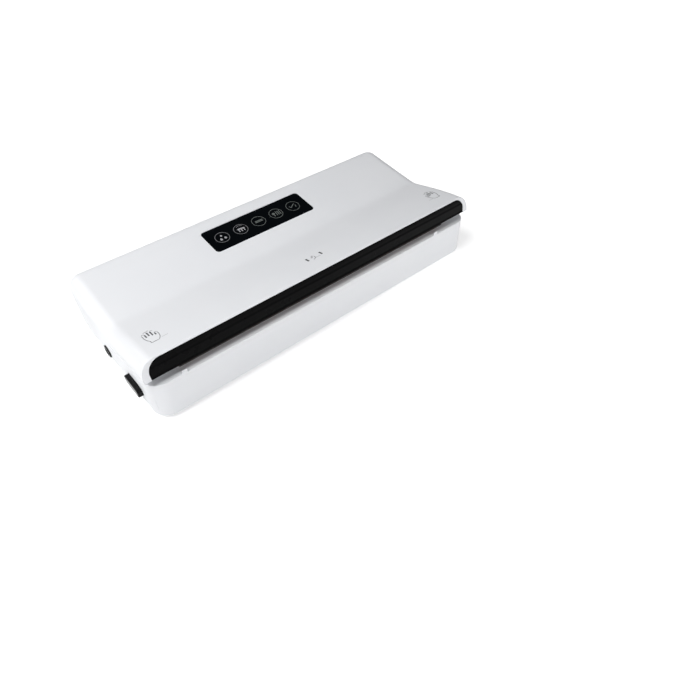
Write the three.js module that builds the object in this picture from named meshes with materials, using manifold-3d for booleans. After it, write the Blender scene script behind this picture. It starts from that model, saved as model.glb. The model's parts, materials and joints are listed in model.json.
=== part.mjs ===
// A countertop vacuum sealer: a low white base, a hinged lid that stands slightly ajar,
// a black front strip and touch panel, and the working parts inside.
// Millimetres. X runs along the machine, Y from front to back, Z up. Every part is placed
// with Y measured from the base's front face; the outer group then centres the machine on Y.
// Lid parts are modelled with the lid shut, inside a group that turns on the hinge axis.
import * as THREE from "three";
import { mergeVertices } from "three/addons/utils/BufferGeometryUtils.js";
import Module from "manifold-3d";

const wasm = await Module();
wasm.setup();

// ---- Driving dimensions ----
const BASE_HALF = 190.5; // half length of the base
const BASE_BACK = 161; // depth of the base
const BASE_BOTTOM = 3; // lower edge of the base's walls
const DEPTH_CENTRE = 81.4; // middle of the whole depth, with the lid ajar
const DECK = 42.7; // top of the front deck
const WALL = 2.5; // wall of the mouldings
const FRONT_CORNER = 16; // plan radius of the base's front corners
const BACK_CORNER = 13; // plan radius of the base's back corners
const LEDGE = 14.5; // top of the low ledge under the hinge
const SEAM_START = 18; // the side seam leaves the deck's level here
const SEAM_END = 150; // and reaches its lowest level here
const SEAM_DROP = DECK - LEDGE;
const REAR_WALL = 148.2; // back of the raised part; the lid's skirt swings in behind it
const REAR_TOP = 46.5; // top of the raised part of the base, over the pump
const REAR_START = 80; // where that raised part begins
const SIDE_INSET = 4.5; // the raised part stands this far inside the lid's skirt

const HINGE_Y = 155.5;
const HINGE_Z = 24;
const HINGE_EARS = [[150, 154], [170, 174]]; // base ears of one hinge, along X
const LID_EAR = [155, 169];
const EAR_RADIUS = 3.4;
const PIN_RADIUS = 1.5;
const PIN_CLEARANCE = 0.05;
const AJAR = THREE.MathUtils.degToRad(2.6); // how far the unlatched lid stands open

const LID_HALF = 191.5; // half length of the lid
const LID_ROUND = 14; // radius of the lid's long end edges
const LID_EDGE = 43.2; // lower edge of the shut lid at the front
const LID_BACK = 161.5; // back of the shut lid
const LID_BACK_EDGE = 17; // lower edge of the shut lid at the back
const LID_FRONT_LOW = [2, LID_EDGE]; // foot of the leaning front face
const LID_FRONT_TOP = [5, 61.8]; // top of the leaning front face
const LID_RIM = 1.2; // white rim left above the front strip
const STRIP_HALF = 185.2; // half length of the opening that the strip fills
const VALLEY = [77.7, 51.7]; // bottom of the dip across the lid
const BACK_CREST = [154, 65.8]; // where the rear slope would end
const FRONT_CROWN = 1.4; // how far the front part of the top bulges
const SLOPE = Math.atan2(BACK_CREST[1] - VALLEY[1], BACK_CREST[0] - VALLEY[0]);

const CHAMBER_HALF = 150; // vacuum chamber: half length, front, back and floor
const CHAMBER_FRONT = 29;
const CHAMBER_BACK = 67;
const CHAMBER_FLOOR = 29;
const GASKET_HALF = 158; // outer outline of the two sealing rings
const GASKET_FRONT = 23;
const GASKET_BACK = 73;
const GASKET_WIDTH = 4.2;
const GASKET_RADIUS = 12;
const LOWER_GASKET_TOP = 43.4;
const UPPER_GASKET_LOW = 43.9;
const BAR_HALF = 159; // heating bar: half length, front and back
const BAR_FRONT = 9.5;
const BAR_BACK = 18.5;
const BAR_TOP = 43;

const LINER_LOW = 45.2; // underside of the lid's inner panel, front part
const LINER_HIGH = 48; // and rear part
const LINER_WALL = 2;

const LATCH_Y = 40.5; // latches and release buttons: depth and height
const LATCH_Z = 17.5;
const BUTTON_LENGTH = 26.5;
const BUTTON_HEIGHT = 9.6;
const BUTTON_FACE = 195; // half length over the two buttons
const FLANGE_HALF = 16; // slider: half length of its flange, and where the flange stops
const FLANGE_OUTER = 187.7;
const POST_X = 168; // slider: inner side of the post that carries the nose
const NOSE_LOW = 36.4;
const NOSE_TOP = 38.2;
const SPRING_TURNS = 5;
const SPRING_RADIUS = 3.5;
const SPRING_WIRE = 0.45;
const CATCH_LIP_TOP = 36;
const SWITCH_X = -178.1; // lid switch beside the left latch
const SWITCH_LOW = 28;
const RAIL_X = 176.5; // rails under the latch sliders, ending short of the pressed flanges
const RAIL_HALF = 5.5;
const RAIL_TOP = 14.2;
const RIB_LOW = 10.5; // ribs that the latch springs rest on
const TAB_X = 158.5; // tabs on the deck that mark the widest bag

const PANEL_LENGTH = 120.4;
const PANEL_WIDTH = 33.6;
const PANEL_THICKNESS = 1.2;
const PANEL_Y = 119.7;

const PORT_Y = 101; // accessory hose port on the left end
const PORT_Z = 11.7;
const PORT_OUT = 1.4; // how far its ring stands out
const INLET_Y = 88; // mains inlet on the right end
const INLET_Z = 14;
const PORT_BODY = 6.4; // outer and inner radius of the hose port
const PORT_BORE = 4;
const PUMP_Y = 112; // axis of the pump and its motor
const PUMP_Z = 22;
const BOARD_Z = 10; // power board: underside, top and posts
const BOARD_TOP = BOARD_Z + 1.6;
const BOARD_POSTS = [[44, 90], [44, 138], [160, 104], [160, 138]];
const NOZZLE_X = -31; // where the pump draws from the chamber
const NOZZLE_Z = 31.6;
const NOZZLE_BORE = 1.2;

const FLOOR_LOW = 2.5; // bottom cover
const FLOOR_TOP = 5;
const FOOT_RADIUS = 8;
const FEET = [[-165, 18], [165, 18], [-165, 145], [165, 145]];
const BOTTOM_SCREWS = [[-176, 64], [176, 64], [-176, 138], [176, 138], [-20, 18], [20, 141]];
const LID_SCREWS = [[-165, 12], [165, 12], [-150, 128], [150, 128]];
const SCREW_BOSS = 4;
const SCREW_SHANK = 1.3;
const SCREW_HEAD = 3;
const SCREW_SIDES = 8;
const FIT = 0.3; // gap left between neighbouring mouldings
const TOUCH = 0.1; // gap left where one piece sits on another

// ---- Materials ----
function material(color, roughness, metalness = 0) {
  return new THREE.MeshStandardMaterial({ color, roughness, metalness });
}
const whitePlastic = material(0xf1f2f4, 0.38);
const blackPlastic = material(0x111214, 0.35);
const blackGloss = material(0x08090b, 0.08);
const innerPlastic = material(0xe4e6e8, 0.5);
const foam = material(0x1c1d1f, 0.9);
const silicone = material(0xb9472f, 0.6);
const tape = material(0x6a4a30, 0.55);
const steel = material(0xc4c7cb, 0.3, 1);
const aluminium = material(0xb8bbbf, 0.4, 1);
const board = material(0x1d5a37, 0.5);
const clearHose = material(0xdfe6e6, 0.2);
const rubber = material(0x2a2b2d, 0.85);
const yellowTape = material(0xd8b23c, 0.5);

// ---- Tools for shapes ----
function solid(geometry) {
  const plain = geometry.clone();
  plain.deleteAttribute("normal");
  plain.deleteAttribute("uv");
  const merged = mergeVertices(plain, 1e-4);
  return new wasm.Manifold(
    new wasm.Mesh({
      numProp: 3,
      vertProperties: new Float32Array(merged.attributes.position.array),
      triVerts: new Uint32Array(merged.index.array),
    })
  );
}

function geometryOf(body) {
  const mesh = body.getMesh();
  const geometry = new THREE.BufferGeometry();
  geometry.setAttribute("position", new THREE.BufferAttribute(mesh.vertProperties, 3));
  geometry.setIndex(new THREE.BufferAttribute(mesh.triVerts, 1));
  geometry.computeVertexNormals();
  return geometry;
}

function box(x0, x1, y0, y1, z0, z1) {
  const geometry = new THREE.BoxGeometry(x1 - x0, y1 - y0, z1 - z0);
  geometry.translate((x0 + x1) / 2, (y0 + y1) / 2, (z0 + z1) / 2);
  return geometry;
}

function cylinderZ(x, y, z0, z1, radius, sides = 16) {
  const geometry = new THREE.CylinderGeometry(radius, radius, z1 - z0, sides);
  geometry.rotateX(Math.PI / 2);
  geometry.translate(x, y, (z0 + z1) / 2);
  return geometry;
}

function cylinderX(x0, x1, y, z, radius, sides = 20) {
  const geometry = new THREE.CylinderGeometry(radius, radius, x1 - x0, sides);
  geometry.rotateZ(Math.PI / 2);
  geometry.translate((x0 + x1) / 2, y, z);
  return geometry;
}

function outline(points) {
  return new THREE.Shape(points.map(([u, v]) => new THREE.Vector2(u, v)));
}

function roundedRect(x0, x1, y0, y1, radius) {
  const shape = new THREE.Shape();
  shape.absarc(x1 - radius, y0 + radius, radius, -Math.PI / 2, 0);
  shape.absarc(x1 - radius, y1 - radius, radius, 0, Math.PI / 2);
  shape.absarc(x0 + radius, y1 - radius, radius, Math.PI / 2, Math.PI);
  shape.absarc(x0 + radius, y0 + radius, radius, Math.PI, 1.5 * Math.PI);
  shape.closePath();
  return shape;
}

// A shape drawn in X and Y, standing from z0 to z1.
function extrudeZ(shape, z0, z1, curveSegments = 4) {
  const options = { depth: z1 - z0, bevelEnabled: false, curveSegments };
  const geometry = new THREE.ExtrudeGeometry(shape, options);
  geometry.translate(0, 0, z0);
  return geometry;
}

// A side profile drawn in Y and Z, running from x0 to x1.
function extrudeX(points, x0, x1) {
  const shape = Array.isArray(points) ? outline(points) : points;
  const options = { depth: x1 - x0, bevelEnabled: false, curveSegments: 4 };
  const geometry = new THREE.ExtrudeGeometry(shape, options);
  const turn = new THREE.Matrix4().makeBasis(
    new THREE.Vector3(0, 1, 0),
    new THREE.Vector3(0, 0, 1),
    new THREE.Vector3(1, 0, 0)
  );
  geometry.applyMatrix4(turn);
  geometry.translate(x0, 0, 0);
  return geometry;
}

// A profile drawn in X and Z, running from y0 to y1.
function extrudeY(points, y0, y1) {
  const options = { depth: y1 - y0, bevelEnabled: false };
  const geometry = new THREE.ExtrudeGeometry(outline(points), options);
  const turn = new THREE.Matrix4().makeBasis(
    new THREE.Vector3(1, 0, 0),
    new THREE.Vector3(0, 0, 1),
    new THREE.Vector3(0, -1, 0)
  );
  geometry.applyMatrix4(turn);
  geometry.translate(0, y1, 0);
  return geometry;
}

// A closed body through rings of equal length; each ring is a list of [x, y, z].
function loft(rings) {
  const count = rings[0].length;
  const positions = rings.flat(2);
  const index = [];
  for (let i = 0; i + 1 < rings.length; i += 1) {
    for (let j = 0; j < count; j += 1) {
      const a = i * count + j;
      const b = i * count + ((j + 1) % count);
      index.push(a, b, b + count, a, b + count, a + count);
    }
  }
  const cap = THREE.ShapeUtils.triangulateShape(
    rings[0].map(([, y, z]) => new THREE.Vector2(y, z)),
    []
  );
  const last = (rings.length - 1) * count;
  for (const [a, b, c] of cap) {
    index.push(a, c, b);
    index.push(last + a, last + b, last + c);
  }
  const geometry = new THREE.BufferGeometry();
  geometry.setAttribute("position", new THREE.Float32BufferAttribute(positions, 3));
  geometry.setIndex(index);
  return geometry;
}

function union(geometries) {
  return geometries.map(solid).reduce((sum, next) => sum.add(next));
}

function tube(points, outer, inner, steps) {
  const shape = new THREE.Shape();
  shape.absarc(0, 0, outer, 0, 2 * Math.PI);
  if (inner > 0) {
    const hole = new THREE.Path();
    hole.absarc(0, 0, inner, 0, 2 * Math.PI, true);
    shape.holes.push(hole);
  }
  const curve = new THREE.CatmullRomCurve3(points.map((p) => new THREE.Vector3(...p)));
  return new THREE.ExtrudeGeometry(shape, { steps, extrudePath: curve, curveSegments: 4 });
}

function part(name, geometry, look) {
  const mesh = new THREE.Mesh(geometry, look);
  mesh.name = name;
  return mesh;
}

function mirrored(geometry, side) {
  if (side < 0) {
    return geometry;
  }
  return geometryOf(solid(geometry).mirror([1, 0, 0]));
}

// ---- The base ----

// Height of the side seam at depth y: level at the front, an S-curve down to the back.
function seam(y, top, drop) {
  const t = THREE.MathUtils.smoothstep(y, SEAM_START, SEAM_END);
  return top - drop * t;
}

function seamPoints(top, drop, steps = 10) {
  const points = [];
  for (let i = 0; i <= steps; i += 1) {
    const y = SEAM_START + ((SEAM_END - SEAM_START) * i) / steps;
    points.push([y, seam(y, top, drop)]);
  }
  return points;
}

function basePlan(inset) {
  const shape = new THREE.Shape();
  const x = BASE_HALF - inset;
  const y0 = inset;
  const y1 = BASE_BACK - inset;
  const front = FRONT_CORNER - inset;
  const back = BACK_CORNER - inset;
  shape.absarc(x - front, y0 + front, front, -Math.PI / 2, 0);
  shape.absarc(x - back, y1 - back, back, 0, Math.PI / 2);
  shape.absarc(-x + back, y1 - back, back, Math.PI / 2, Math.PI);
  shape.absarc(-x + front, y0 + front, front, Math.PI, 1.5 * Math.PI);
  shape.closePath();
  return shape;
}

function sideProfile(inset) {
  const sides = seamPoints(DECK - inset, SEAM_DROP);
  return [[-5, 0], [170, 0], [170, LEDGE - inset], ...sides.reverse(), [-5, DECK - inset]];
}

function raisedProfile(inset) {
  const back = REAR_WALL - inset;
  const top = REAR_TOP - inset;
  return [
    [-5, 0],
    [back, 0],
    [back, top - 4],
    [back - 4, top],
    [REAR_START + 4 + inset / 2, top],
    [REAR_START + inset / 2, DECK - inset],
    [-5, DECK - inset],
  ];
}

function baseBody(inset) {
  const low = solid(extrudeZ(basePlan(inset), BASE_BOTTOM, 60))
    .intersect(solid(extrudeX(sideProfile(inset), -200, 200)));
  const plan = basePlan(SIDE_INSET + inset);
  const raised = solid(extrudeZ(plan, BASE_BOTTOM, 60))
    .intersect(solid(extrudeX(raisedProfile(inset), -200, 200)));
  return low.add(raised);
}

function gasketRing(grow, z0, z1) {
  const shape = roundedRect(
    -GASKET_HALF - grow, GASKET_HALF + grow,
    GASKET_FRONT - grow, GASKET_BACK + grow,
    GASKET_RADIUS + grow
  );
  const inner = GASKET_WIDTH + grow;
  const hole = roundedRect(
    -GASKET_HALF + inner, GASKET_HALF - inner,
    GASKET_FRONT + inner, GASKET_BACK - inner,
    GASKET_RADIUS - inner
  );
  shape.holes.push(new THREE.Path(hole.getPoints(4).reverse()));
  return extrudeZ(shape, z0, z1);
}

function hingeEar(x0, x1, rootY) {
  const ear = solid(cylinderX(x0, x1, HINGE_Y, HINGE_Z, EAR_RADIUS, 16));
  const low = Math.min(rootY, HINGE_Y);
  const high = Math.max(rootY, HINGE_Y);
  return ear.add(solid(box(x0, x1, low, high, HINGE_Z - EAR_RADIUS, HINGE_Z + EAR_RADIUS)));
}

function baseHousing() {
  let body = baseBody(0).subtract(baseBody(WALL));
  // The walls are open underneath, where the bottom cover closes them.
  body = body.subtract(solid(extrudeZ(basePlan(WALL), BASE_BOTTOM - 1, FLOOR_TOP + 1)));
  // Chamber: a tray hung from the deck.
  const tray = roundedRect(
    -CHAMBER_HALF - WALL, CHAMBER_HALF + WALL, CHAMBER_FRONT - WALL, CHAMBER_BACK + WALL, 9
  );
  const hollow = roundedRect(-CHAMBER_HALF, CHAMBER_HALF, CHAMBER_FRONT, CHAMBER_BACK, 6.5);
  body = body.add(solid(extrudeZ(tray, CHAMBER_FLOOR - WALL, DECK)));
  // Bed under the ring groove and the heating bar.
  body = body.add(solid(box(-BAR_HALF - 3, BAR_HALF + 3, 7.5, 75, DECK - 6.5, DECK)));
  body = body.subtract(solid(extrudeZ(hollow, CHAMBER_FLOOR, DECK + 5)));
  body = body.subtract(solid(gasketRing(FIT, DECK - 2, DECK + 5)));
  body = body.subtract(
    solid(box(-BAR_HALF - FIT, BAR_HALF + FIT, BAR_FRONT - FIT, BAR_BACK + FIT, DECK - 4.5, DECK + 5))
  );
  // The pump draws through a small hole in the chamber's back wall.
  const drawHole = new THREE.CylinderGeometry(NOZZLE_BORE, NOZZLE_BORE, 6, 10);
  drawHole.translate(NOZZLE_X, CHAMBER_BACK + 1, NOZZLE_Z);
  body = body.subtract(solid(drawHole));
  // Low tabs on the deck's front edge mark the widest bag.
  for (const side of [-1, 1]) {
    const x = side * TAB_X;
    body = body.add(solid(box(x - 2.5, x + 2.5, 0.2, 1.6, DECK - 1, DECK + 3)));
  }
  // Hinge ears.
  for (const [x0, x1] of HINGE_EARS) {
    body = body.add(hingeEar(x0, x1, REAR_WALL - 1));
    body = body.add(hingeEar(-x1, -x0, REAR_WALL - 1));
  }
  body = body.subtract(solid(cylinderX(-174, 174, HINGE_Y, HINGE_Z, PIN_RADIUS + PIN_CLEARANCE)));
  // Screw bosses.
  for (const [x, y] of BOTTOM_SCREWS) {
    const underBar = Math.abs(x) < BAR_HALF && y < REAR_START;
    const top = y > REAR_START ? REAR_TOP - 1 : DECK - (underBar ? 5 : 1);
    const boss = solid(cylinderZ(x, y, FLOOR_TOP + FIT, top, SCREW_BOSS, 12));
    body = body.add(boss.intersect(baseBody(0)));
    const hole = cylinderZ(x, y, FLOOR_TOP - 1, FLOOR_TOP + 11, SCREW_SHANK + 0.1, SCREW_SIDES);
    body = body.subtract(solid(hole));
  }
  for (const side of [-1, 1]) {
    body = body.subtract(solid(buttonWindow(side)));
    body = body.subtract(solid(catchSlot(side)));
    body = body.add(solid(springRib(side)));
  }
  // Hose port on the left, mains inlet on the right.
  body = body.subtract(
    solid(cylinderX(-BASE_HALF - 2, -BASE_HALF + 5, PORT_Y, PORT_Z, PORT_BODY + FIT))
  );
  body = body.subtract(solid(inletBlock(FIT, 5)));
  return part("base_housing", geometryOf(body), whitePlastic);
}

function buttonWindow(side) {
  const y = BUTTON_LENGTH / 2 + FIT;
  const z = BUTTON_HEIGHT / 2 + FIT;
  const x = side * (BASE_HALF - 1);
  return box(x - 4, x + 4, LATCH_Y - y, LATCH_Y + y, LATCH_Z - z, LATCH_Z + z);
}

function catchSlot(side) {
  const x = side * 179;
  return box(x - 6, x + 6, LATCH_Y - 7.5, LATCH_Y + 7.5, DECK - WALL - 1, DECK + 3);
}

function springRib(side) {
  const x = side * 155.5;
  return box(x - 1.5, x + 1.5, LATCH_Y - 7, LATCH_Y + 7, RIB_LOW, DECK - 5);
}

function bottomCover() {
  let body = solid(extrudeZ(basePlan(WALL + FIT), FLOOR_LOW, FLOOR_TOP));
  for (const [x, y] of FEET) {
    body = body.subtract(solid(cylinderZ(x, y, FLOOR_LOW - 1, FLOOR_LOW + 1, FOOT_RADIUS + 0.5, 16)));
  }
  for (const [x, y] of BOTTOM_SCREWS) {
    const shank = cylinderZ(x, y, FLOOR_LOW - 1, FLOOR_TOP + 1, SCREW_SHANK + 0.4, SCREW_SIDES);
    const head = cylinderZ(x, y, FLOOR_LOW - 1, FLOOR_LOW + 1.4, SCREW_HEAD + 0.4, SCREW_SIDES);
    body = body.subtract(solid(shank)).subtract(solid(head));
  }
  // Cooling slots under the pump and the power board.
  for (let i = 0; i < 7; i += 1) {
    for (const x of [-105, 90]) {
      const left = x + (i - 3) * 7;
      body = body.subtract(solid(box(left, left + 2.5, 98, 126, FLOOR_LOW - 1, FLOOR_TOP + 1)));
    }
  }
  // Rails that carry the latch sliders, and posts for the power board.
  for (const side of [-1, 1]) {
    const x = side * RAIL_X;
    const rail = box(x - RAIL_HALF, x + RAIL_HALF, LATCH_Y - 9, LATCH_Y + 9, FLOOR_TOP - 1, RAIL_TOP);
    body = body.add(solid(rail));
  }
  for (const [x, y] of BOARD_POSTS) {
    body = body.add(solid(cylinderZ(x, y, FLOOR_TOP - 1, BOARD_Z - TOUCH, 3, 12)));
  }
  return part("bottom_cover", geometryOf(body), innerPlastic);
}

function foot(name, x, y) {
  const profile = [[0, 0], [6.6, 0], [7.4, 0.8], [FOOT_RADIUS, 3.4], [0, 3.4]];
  const geometry = new THREE.LatheGeometry(profile.map((p) => new THREE.Vector2(...p)), 16);
  geometry.rotateX(Math.PI / 2);
  geometry.translate(x, y, 0);
  return part(name, geometry, rubber);
}

function screw(name, x, y, headZ, length) {
  const profile = [
    [0, 0.7], [1.4, 0], [2.4, 0.1], [SCREW_HEAD, 1.3],
    [SCREW_SHANK, 1.4], [SCREW_SHANK, length - 1], [0, length],
  ];
  const geometry = new THREE.LatheGeometry(profile.map((p) => new THREE.Vector2(...p)), SCREW_SIDES);
  geometry.rotateX(Math.PI / 2);
  geometry.translate(x, y, headZ);
  return part(name, geometry, steel);
}

function heatingParts() {
  const bar = box(-BAR_HALF, BAR_HALF, BAR_FRONT, BAR_BACK, DECK - 4.4, BAR_TOP);
  const element = box(-BAR_HALF + 1, BAR_HALF - 1, 11.5, 16.5, BAR_TOP + 0.05, BAR_TOP + 0.3);
  const cover = box(-BAR_HALF + 0.5, BAR_HALF - 0.5, 10, 18, BAR_TOP + 0.35, BAR_TOP + 0.65);
  return [
    part("heating_bar", bar, aluminium),
    part("heating_element", element, steel),
    part("sealing_tape", cover, tape),
  ];
}

function lowerGasket() {
  return part("lower_gasket", gasketRing(0, DECK - 2 + TOUCH, LOWER_GASKET_TOP), foam);
}

function hosePort() {
  let body = union([
    cylinderX(-BASE_HALF - PORT_OUT, -BASE_HALF + 3, PORT_Y, PORT_Z, PORT_BODY, 24),
    cylinderX(-BASE_HALF + 2.8, -BASE_HALF + 12, PORT_Y, PORT_Z, PORT_BORE + 1.5, 24),
    cylinderX(-BASE_HALF + 11, -BASE_HALF + 20, PORT_Y, PORT_Z, 1.9, 16),
  ]);
  body = body.subtract(
    solid(cylinderX(-BASE_HALF - 2, -BASE_HALF + 10.5, PORT_Y, PORT_Z, PORT_BORE, 24))
  );
  body = body.subtract(solid(cylinderX(-BASE_HALF, -BASE_HALF + 25, PORT_Y, PORT_Z, 1, 12)));
  return part("hose_port", geometryOf(body), blackPlastic);
}

// The inlet's block, grown by a gap on its sides and ends.
function inletBlock(gap, deeper) {
  const shape = roundedRect(
    INLET_Y - 11 - gap, INLET_Y + 11 + gap, INLET_Z - 6 - gap, INLET_Z + 6 + gap, 3 + gap
  );
  return extrudeX(shape, BASE_HALF - 14 - deeper, BASE_HALF + 0.6 + deeper);
}

function mainsInlet() {
  const recess = roundedRect(INLET_Y - 8.8, INLET_Y + 8.8, INLET_Z - 4, INLET_Z + 4, 3.9);
  const body = solid(inletBlock(0, 0))
    .subtract(solid(extrudeX(recess, BASE_HALF - 11, BASE_HALF + 3)));
  const pins = [-4.3, 4.3].map((offset, i) =>
    part(
      `mains_pin_${i + 1}`,
      cylinderX(BASE_HALF - 10.9, BASE_HALF - 2, INLET_Y + offset, INLET_Z, 1.2, 12),
      steel
    )
  );
  return [part("mains_inlet", geometryOf(body), blackPlastic), ...pins];
}

// ---- The latches ----

function latchParts(side, label) {
  const stop = -FLANGE_OUTER;
  const low = LATCH_Z - 6.2;
  const flange = box(stop, stop + 2, LATCH_Y - FLANGE_HALF, LATCH_Y + FLANGE_HALF, low, low + 12.4);
  const plate = box(stop + 1.7, -POST_X, LATCH_Y - 10, LATCH_Y + 10, LATCH_Z - 3, LATCH_Z + 2);
  const post = box(-POST_X - 4, -POST_X, LATCH_Y - 6, LATCH_Y + 6, LATCH_Z - 3, NOSE_TOP);
  // The nose is bevelled on top, so that the shutting lid's catch pushes it aside.
  const ramp = [
    [-POST_X - 3, NOSE_LOW], [-POST_X - 3, NOSE_TOP], [-POST_X - 7, NOSE_TOP],
    [-POST_X - 10, NOSE_TOP - 1], [-POST_X - 10, NOSE_LOW],
  ];
  const nose = extrudeY(ramp, LATCH_Y - 6, LATCH_Y + 6);
  const slider = geometryOf(union([flange, plate, post, nose]));
  const halfLength = BUTTON_LENGTH / 2;
  const halfHeight = BUTTON_HEIGHT / 2;
  const face = roundedRect(
    LATCH_Y - halfLength, LATCH_Y + halfLength, LATCH_Z - halfHeight, LATCH_Z + halfHeight, 3
  );
  const button = extrudeX(face, -BUTTON_FACE, stop - TOUCH);
  const springPoints = [];
  for (let i = 0; i <= SPRING_TURNS * 8; i += 1) {
    const angle = (i / 8) * 2 * Math.PI;
    const x = -POST_X + 0.9 + (9.5 * i) / (SPRING_TURNS * 8);
    const y = LATCH_Y + SPRING_RADIUS * Math.cos(angle);
    springPoints.push([x, y, LATCH_Z + SPRING_RADIUS * Math.sin(angle)]);
  }
  const spring = springCoil(springPoints, SPRING_WIRE);
  return [
    part(`latch_slider_${label}`, mirrored(slider, side), innerPlastic),
    part(`release_button_${label}`, mirrored(geometryOf(solid(button)), side), blackPlastic),
    part(`latch_spring_${label}`, mirrored(spring, side), steel),
  ];
}

function springCoil(points, radius) {
  const shape = new THREE.Shape();
  shape.absarc(0, 0, radius, 0, 2 * Math.PI);
  const curve = new THREE.CatmullRomCurve3(points.map((p) => new THREE.Vector3(...p)));
  return new THREE.ExtrudeGeometry(shape, { steps: 40, extrudePath: curve, curveSegments: 2.5 });
}

function lidSwitch(side, label) {
  const y = LATCH_Y + 12;
  const body = union([
    box(SWITCH_X - 5.2, SWITCH_X + 5.2, y - 3, y + 3, SWITCH_LOW, SWITCH_LOW + 8),
    box(SWITCH_X - 4.2, SWITCH_X + 4.2, y - 2, y + 2, SWITCH_LOW + 8, SWITCH_LOW + 8.6),
    box(SWITCH_X - 2.2, SWITCH_X - 0.2, y - 0.5, y + 0.5, SWITCH_LOW - 4, SWITCH_LOW + 0.5),
    box(SWITCH_X + 0.8, SWITCH_X + 2.8, y - 0.5, y + 0.5, SWITCH_LOW - 4, SWITCH_LOW + 0.5),
  ]);
  return part(`lid_switch_${label}`, mirrored(geometryOf(body), side), blackPlastic);
}

// ---- Pump, valve and hoses ----

function pumpParts() {
  const motor = geometryOf(union([
    cylinderX(-120, -82, PUMP_Y, PUMP_Z, 13.8, 28),
    cylinderX(-122.5, -119.5, PUMP_Y, PUMP_Z, 5, 20),
    box(-121.5, -119.5, PUMP_Y + 7, PUMP_Y + 10, PUMP_Z - 1.5, PUMP_Z + 1.5),
    box(-121.5, -119.5, PUMP_Y - 10, PUMP_Y - 7, PUMP_Z - 1.5, PUMP_Z + 1.5),
  ]));
  const head = geometryOf(union([
    box(-81.9, -70, PUMP_Y - 14, PUMP_Y + 14, PUMP_Z - 14, PUMP_Z + 14),
    cylinderX(-71, -58, PUMP_Y, PUMP_Z, 13, 24),
    box(-59, -50, PUMP_Y - 14, PUMP_Y + 14, PUMP_Z - 12, PUMP_Z + 12),
    cylinderX(-51, -42, PUMP_Y - 7, PUMP_Z + 3, 2, 12),
    cylinderX(-51, -42, PUMP_Y + 7, PUMP_Z + 3, 2, 12),
  ]));
  let cradle = union([
    box(-116, -88, PUMP_Y - 15, PUMP_Y + 15, FLOOR_TOP + TOUCH, 14),
  ]);
  cradle = cradle.subtract(solid(cylinderX(-125, -80, PUMP_Y, PUMP_Z, 13.8 + TOUCH, 28)));
  return [
    part("pump_motor", motor, steel),
    part("pump_head", head, blackPlastic),
    part("pump_cradle", geometryOf(cradle), rubber),
  ];
}

function valveParts() {
  const body = geometryOf(union([
    box(-22, -4, 104, 118, FLOOR_TOP + TOUCH, 23),
    box(-24, -22, 106, 116, FLOOR_TOP + TOUCH, 25),
    cylinderZ(-13, 111, 22, 31, 2, 12),
    cylinderX(-31, -23, 111, 19, 2, 12),
  ]));
  return part("solenoid_valve", body, yellowTape);
}

function hoses() {
  const outer = 3.2;
  const inner = 2.1;
  const suction = [
    [-41.7, PUMP_Y - 7, PUMP_Z + 3], [-37, PUMP_Y - 7, PUMP_Z + 3], [-32.5, 98, 25.5],
    [NOZZLE_X, 88, 27], [NOZZLE_X, 80, 31], [NOZZLE_X, 74.6, NOZZLE_Z],
  ];
  const release = [
    [-41.7, PUMP_Y + 7, PUMP_Z + 3], [-37, PUMP_Y + 7, PUMP_Z + 3], [-28, 121, 34],
    [-17, 116, 38.5], [-13, 111.3, 37], [-13, 111, 31.3],
  ];
  const port = [
    [-31.3, 111, 19], [-35, 111.2, 18.8], [-39, 122, 14], [-46, 133, 11], [-80, 134, 10.5],
    [-130, 133, 10.5], [-152, 122, 11], [-158, 106, 12], [-164, PORT_Y, PORT_Z],
    [-170.2, PORT_Y, PORT_Z],
  ];
  const root = CHAMBER_BACK + WALL + TOUCH;
  const nozzle = tube(
    [[NOZZLE_X, root, NOZZLE_Z], [NOZZLE_X, root + 4.8, NOZZLE_Z]], 2, NOZZLE_BORE, 1
  );
  return [
    part("suction_hose", tube(suction, outer, inner, 9), clearHose),
    part("release_hose", tube(release, outer, inner, 9), clearHose),
    part("port_hose", tube(port, outer, inner, 18), clearHose),
    part("chamber_nozzle", nozzle, blackPlastic),
  ];
}

// ---- Power board ----

function powerParts() {
  const plate = box(38, 166, 84, 143, BOARD_Z, BOARD_TOP);
  const transformer = geometryOf(union([
    box(58, 86, 98, 128, BOARD_TOP + TOUCH, 20),
    box(62, 82, 100, 126, 19, 34),
    box(58, 86, 98, 128, 33, 37),
  ]));
  const capacitor = cylinderX(98, 120, 94, BOARD_TOP + TOUCH + 6.5, 6.5, 20);
  let sink = union([box(104, 140, 124, 126, BOARD_TOP + TOUCH, 36)]);
  for (let i = 0; i < 5; i += 1) {
    const x = 106 + i * 7.5;
    sink = sink.add(solid(box(x, x + 1.6, 125, 134, BOARD_TOP + TOUCH, 36)));
  }
  return [
    part("power_board", plate, board),
    part("transformer", transformer, yellowTape),
    part("capacitor", capacitor, blackPlastic),
    part("heat_sink", geometryOf(sink), aluminium),
  ];
}

// ---- The lid, modelled shut ----

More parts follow.
